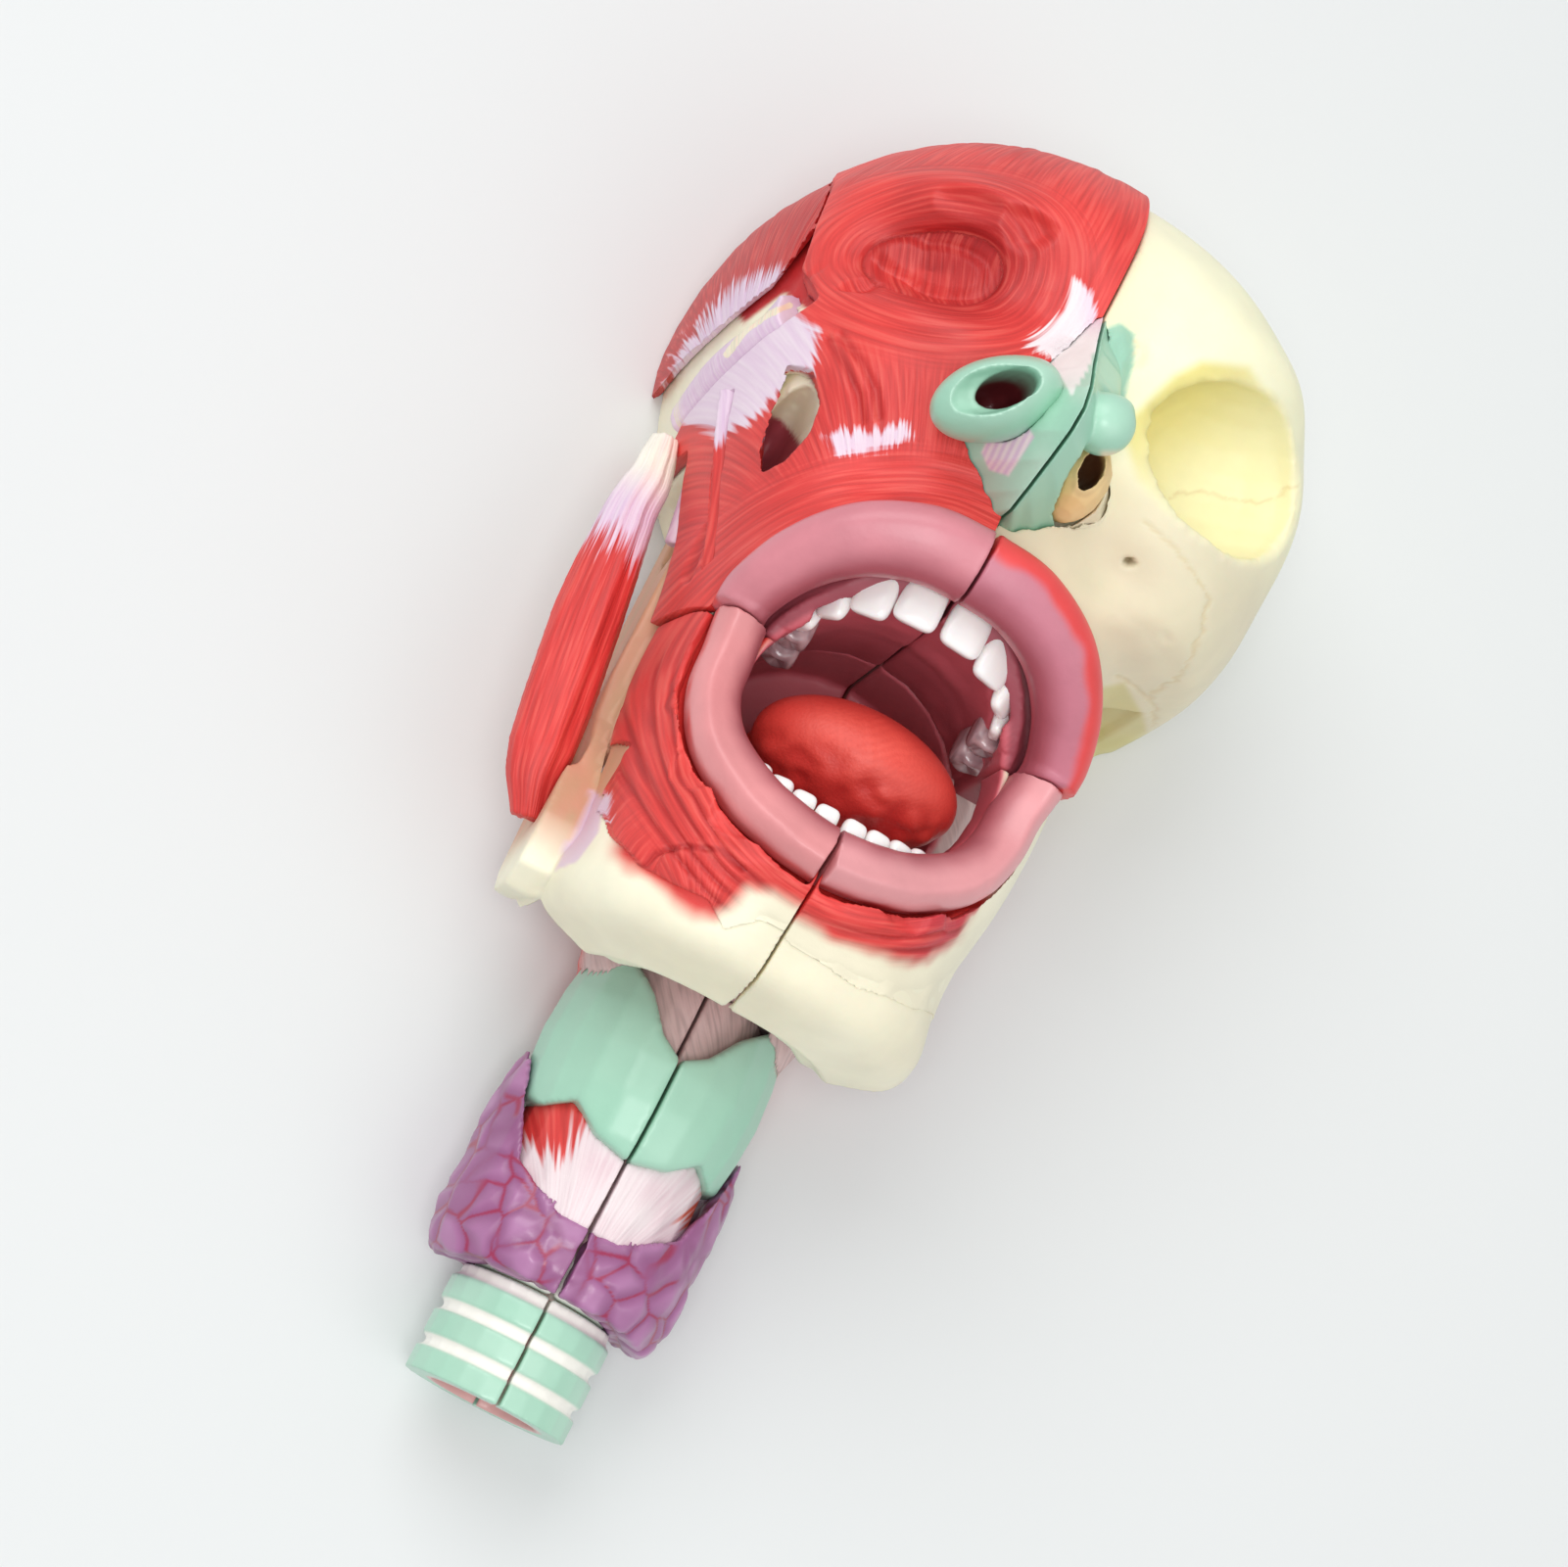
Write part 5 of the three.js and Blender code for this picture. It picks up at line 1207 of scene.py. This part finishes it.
def tongue():
    piece, _ = shaped("tongue", "tongue_body", 0.8, 6)
    rounded(piece, *TONGUE_TIP, reach=0.16)
    rounded(piece, *TONGUE_ROOT, reach=0.1)
    p = relaxed(piece, 16, swing=0.75)
    n = normals_of(piece)
    x, y, z = p.T
    low = smooth(160, 151, y) * smooth(70, 84, z)
    wrinkle = noise(p * (1, 1.4, 1), 4.5, 4)
    lines = strands(x * 0.9 + 0.5 * y, y, 3, 1.3) * smooth(12, 4, np.hypot(x, y - 162))
    pushed(piece, p, n, 2.6 * ((wrinkle - 0.5) * low) + 0.3 * lines)
    # painted highlight where the surface faces up
    colour = mix(TONGUE, TONGUE_HIGHLIGHT, smooth(0.5, 1.0, n[:, 2]) * (0.4 + 0.5 * noise(p, 5.0, 9)))
    # painted shade on faces turned down, and darker towards the front
    colour = mix(colour, TONGUE_DARK, np.maximum(smooth(158, 148, y) * 0.7, smooth(0.1, -0.5, n[:, 2])))
    fine = strands(x + 0.45 * y, y, 6, 1.1)
    # fine dark lines, and painted shade in the hollows of the wrinkles
    colour = mix(colour, TONGUE_DARK, 0.22 * fine + 0.6 * low * smooth(0.55, 0.35, wrinkle))
    finished(piece, "tongue", "tongue", colour)


# Jaws

RED_EDGE = {
    "right": [
        (600, 500), (610, 700), (606, 780), (600, 830), (608, 872), (636, 892), (662, 902), (684, 924),
        (706, 940), (730, 944), (748, 936), (766, 914), (790, 916), (812, 930), (835, 938), (1000, 910),
        (1000, 500),
    ],
    "left": [
        (800, 500), (800, 940), (838, 962), (880, 976), (930, 992), (955, 992), (985, 968), (1060, 850),
        (1100, 500),
    ],
}
ANGLE_TENDON = [(565, 890), (590, 840), (604, 805), (617, 815), (612, 850), (590, 880)]
MENTAL_ARC = [(640, 892), (668, 871), (700, 864), (735, 868), (758, 888)]
GROOVES = [46.6, 49.4, 52.2, 55.0]  # mm from the middle of the mouth
CHIN_SHEET = 2.6
CHIN_FILM = 0.35  # thickness of the sheet where its paint fades into the bone
CHIN_BEVEL = 8.0
CHIN_FAN = (712, 960)  # where the fibres of the chin's knob meet


def ragged(deep, p):
    """The soft uneven edge of the chin's muscle, from the depth in mm inside its outline."""
    return smooth(-1.0, 3.5, deep + (noise(p, 4.0, 8) - 0.5) * 2.0)


def mandible(word):
    piece, _ = shaped(word + "_mandible", "{}_bone", 0.9, 6)
    p, _ = faired(piece, JAW_BODY, reach=2.2)
    p = relaxed(piece, 8, free=smooth(0.4, 1.2, np.abs(skin_depth(JAW_BODY, p)[0])))
    x, y, z = p.T
    seen = pictured(p)
    inner = 1 - smooth(1.0, 1.05, in_mouth(p))
    colour = mix(bone_tone(p, CREAM, SKULL_WARM, 6), MAROON, inner)
    if word == "right":
        ramus = smooth(-43, -46, x) * smooth(108, 124, y) * smooth(80, 70, z)
        colour = mix(colour, mix(TAN, TAN_RED, noise(p * (1, 0.15, 1), 2.5, 15)), ramus)
        colour = mix(colour, LAVENDER, filled(seen, ANGLE_TENDON, -1, 2.5) * (z > 50) * 0.8)
    red = ragged(outlined(seen, RED_EDGE[word]), p)
    red = red * (1 - inner) * smooth(-42, -37, x) * (z > 50) * smooth(148, 140, y)
    beside = smooth(48, 46, mouth_place(p)[0]) * (1 - inner) * (z > 60)
    red = np.maximum(red, beside * (1 if word == "right" else smooth(150, 144, y)))
    finished(piece, word + "_jaw", "bone", mix(colour, RED, red))


def chin_muscle(word):
    piece, _ = shaped(word + "_chin_muscle", "{}_sheet", 0.55, 4)
    p, _ = faired(piece, JAW_BODY, inset=-CHIN_SHEET, reach=1.3)
    x, y, z = p.T
    seen = pictured(p)
    ring, turn = mouth_place(p)
    deep = outlined(seen, RED_EDGE[word])
    depth, out = skin_depth(JAW_BODY, p)
    height = -depth
    flat = CHIN_FILM + (CHIN_SHEET - CHIN_FILM) * smooth(0, CHIN_BEVEL, deep) - 1.1 * smooth(-3, -8, deep)
    thin = 0.3 + np.maximum(height - 0.3, 0) * (flat - 0.3) / (CHIN_SHEET - 0.3)
    near = (height > 0.3) & (height < CHIN_SHEET + 1.2)
    rings = ring_of(ring, turn, 52)
    fan = run_of(x - 0.35 * y, y)
    colour = muscle_tone(p, 6)
    if word == "right":
        bulb = 1 - smooth(0.85, 1.1, np.hypot((seen[:, 0] - 714) / 50, (seen[:, 1] - 902) / 44))
        knob = (seen - CHIN_FAN).T / PIXELS_PER_MM
        round_knob = run_of(np.arctan2(knob[0], -knob[1]) * 16, np.hypot(*knob))
        fan = np.where((bulb > 0.5)[:, None], round_knob, fan)
        arc = drawn(seen, [MENTAL_ARC], 1.5, 5.0)
        pale = outlined(seen, ANGLE_TENDON)
    else:
        bulb, arc, pale = np.zeros(len(p)), np.zeros(len(p)), NO_TENDON
        colour = mix(colour, CHIN_CRIMSON, 0.7 * smooth(905, 985, seen[:, 0]))
    band = 1 - smooth(54, 60, ring + 6 * bulb)
    groove = sum(np.exp(-((ring - at) / 0.55) ** 2) for at in GROOVES) * smooth(172, 158, y)
    strength = smooth(2, 6, deep) * (0.25 + 0.75 * smooth(41, 47, ring))
    cord = ropes(rings, 5) * band + ropes(fan, 6) * (1 - band)
    rise = ((cord - ROPE_MEAN) * 0.6 - 0.8 * groove - 0.7 * arc + 0.8 * bulb) * strength
    outer = smooth(CHIN_SHEET * 0.5, CHIN_SHEET * 0.85, height)
    target = np.where(near, thin, height) + rise * outer
    shifted(piece, p, out * (target - height)[:, None] * smooth(20, 30, z)[:, None])
    # painted shade in the grooves round the mouth and along the chin's arc
    colour = mix(colour, RED_SHADE, np.clip(0.7 * groove + 0.6 * arc, 0, 1))
    fade = ragged(deep, p)
    colour = mix(bone_tone(p, CREAM, SKULL_WARM, 6), colour, fade)
    fibred(piece, colour, fan, rings, band, np.where(fade > 0.5, pale, NO_TENDON), calm=1 - fade)
    finished(piece, word + "_jaw", "muscle")


# Throat

def thyroid_cartilage(word):
    piece, _ = shaped(word + "_thyroid_cartilage", "{}_plate", 0.6, 50, swing=0.92)
    colour = mix(MINT, MINT_LIGHT, noise(swollen(piece, 0.5), 18.0, 5) * 0.5)
    finished(piece, word + "_half", "cartilage", colour)


def larynx_core(word):
    piece, p = shaped(word + "_larynx_core", "{}_column", 0.9, 6)
    colour = mix(membrane_tone(p), BAND, smooth(40, 36, p[:, 1]))
    fibred(piece, colour, throat_slant(p), calm=smooth(42, 38, p[:, 1]))
    finished(piece, word + "_half", "membrane")


LIGAMENT_REACH = {"right": 12.5, "left": 20.5}  # mm from the median cut to the red fan beside it


def cricothyroid(word):
    piece, _ = shaped(word + "_cricothyroid_muscle", "{}_fan", 0.5, 8, swing=0.8)
    p = swollen(piece, 0.5)
    x, y = np.abs(p[:, 0]), p[:, 1]
    flow = run_of(np.arctan2(x - 2, y - 26) * 30, y)
    pushed(piece, p, normals_of(piece), corded(flow, 3, 0.5))
    pale = np.maximum(LIGAMENT_REACH[word] - x, (56 - y) * 0.8) / 1.3
    colour = muscle_tone(p, 7)
    if word == "left":
        colour = mix(colour, FAN_ORANGE, [0.6])
    fibred(piece, colour, flow, pale=pale, pale_tone=mix(PINK, TENDON, 0.7 * noise(p, 7.0, 2)))
    finished(piece, word + "_half", "ligament")


def thyroid_gland(word):
    piece, _ = shaped(word + "_thyroid_gland", "{}_lobes", 0.55, 16, swing=0.8)
    p = swollen(piece, 0.5)
    first, second = cells(p + (noise(p, 6.0, 2) * 2.5)[:, None], 10.0, 2)
    ridge = second - first
    shown = smooth(0.38, 0.66, noise(p, 8.0, 6) + 0.2 * smooth(48, 40, p[:, 1]))
    vein = (1 - smooth(0.015, 0.07, ridge)) * shown
    dome = smooth(0.0, 0.45, ridge)
    pushed(piece, p, normals_of(piece), (0.8 * dome - 0.8) * (0.4 + 0.6 * shown))
    # painted highlight on the tops of the lobes
    colour = mix(PURPLE, PURPLE_HIGHLIGHT, dome * (0.35 + 0.5 * noise(p, 6.0, 8)))
    finished(piece, word + "_half", "gland", mix(colour, CRIMSON, vein * 0.85))


TRACHEA_AXIS = 23.0
RING_PITCH = 9.0


def trachea(word):
    piece, p = shaped(word + "_trachea", "{}_rings", 0.55, 6)
    radius = np.hypot(p[:, 0], p[:, 2] - TRACHEA_AXIS)
    phase = (p[:, 1] % RING_PITCH) / RING_PITCH
    groove = smooth(0.60, 0.68, phase) * (1 - smooth(0.94, 1.0, phase))
    colour = mix(MINT, MINT_LIGHT, 0.3 + noise(p, 10.0, 6) * 0.5)
    colour = mix(colour, BAND, groove)
    colour = mix(colour, BORE_PINK, smooth(15.2, 14.2, radius) * smooth(25, 22, p[:, 1]))
    finished(piece, word + "_half", "cartilage", colour)


PINS = ("crown_pin", "palate_pin", "throat_pin", "right_jaw_pin", "left_jaw_pin", "tongue_peg")


def pin_metal():
    look = Look("dowel_steel")
    brushed = look.speckle(look.node("TexCoord", "Object", {}), 600.0, 2.0)
    look.fed(look.shader, {
        "Metallic": 1.0,
        "Base Color": (0.55, 0.56, 0.58, 1),
        "Roughness": look.ranged(brushed, 0.0, 1.0, 0.22, 0.42),
    })
    for name in PINS:
        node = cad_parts[name]
        node.data.materials.clear()
        node.data.materials.append(look.material)


for build in (
    face_muscles, temple_muscle, left_skull, right_skull, cheek_arch, cheek_strap, masseter,
    coronoid_tendon, alar_cartilage, nose_bridge, nose_cartilage, nostril_rim, tongue,
):
    build()
for word, side in (("right", -1), ("left", 1)):
    lip(word, side, "upper", UPPER_LIP, UPPER_LIP_WIDTHS)
    lip(word, side, "lower", LOWER_LIP, LOWER_LIP_WIDTHS)
    cheek_wall(word)
    pharynx_wall(word)
    teeth(word, side, "upper", UPPER_ARCH, UPPER_TEETH, -1)
    teeth(word, side, "lower", LOWER_ARCH, LOWER_TEETH, 1)
    for build in (
        mandible, chin_muscle, thyroid_cartilage, larynx_core, cricothyroid, thyroid_gland, trachea,
    ):
        build(word)
pin_metal()


# Floor, light and camera

TABLE_REACH = 6.0
TABLE_DROP = 0.0003


def floor():
    a = TABLE_REACH
    mesh = bpy.data.meshes.new("tabletop")
    mesh.from_pydata([(-a, -a, 0), (a, -a, 0), (a, a, 0), (-a, a, 0)], [], [(0, 1, 2, 3)])
    table = linked("tabletop", mesh)
    paper = Look("tabletop_paper")
    paper.fed(paper.shader, {"Base Color": (*PAPER, 1), "Roughness": 0.6})
    mesh.materials.append(paper.material)
    table.location.z = -TABLE_DROP


def aimed(name, data, side, up, back, place):
    """Adds a lamp or a camera at a place, looking against `back`."""
    item = linked(name, data)
    rows = np.stack([side, up, back], axis=1)
    item.matrix_world = Matrix([(*row, at) for row, at in zip(rows, place)] + [(0, 0, 0, 1)])
    return item


def lamp(name, place, size, power):
    light = bpy.data.lights.new(name, "AREA")
    light.shape = "DISK"
    light.size = size
    light.energy = power
    back = np.array(place, float) - (0, 0, 0.05)
    back /= np.linalg.norm(back)
    side = np.cross((0, 1, 0), back)
    side /= np.linalg.norm(side)
    aimed(name, light, side, np.cross(back, side), back, place)


def set_light():
    world = bpy.data.worlds.new("studio")
    bpy.context.scene.world = world
    world.use_nodes = True
    sky = world.node_tree.nodes["Background"]
    sky.inputs["Color"].default_value = (1, 1, 1, 1)
    sky.inputs["Strength"].default_value = 0.5
    lamp("window", (-0.8, 0.7, 1.4), 1.3, 11.5)
    lamp("fill", (0.9, -0.5, 1.5), 1.4, 5)
    lamp("front", (-0.15, -0.45, 1.6), 0.6, 8)
    bpy.context.scene.view_settings.view_transform = "Standard"


def set_camera():
    lens = bpy.data.cameras.new("camera")
    lens.lens = LENS_MM
    lens.sensor_width = 36
    place = (AIM + CAMERA_BACK * DISTANCE - ORIGIN) * MM
    camera = aimed("camera", lens, CAMERA_RIGHT, CAMERA_UP, CAMERA_BACK, place)
    bpy.context.scene.camera = camera


floor()
set_light()
set_camera()
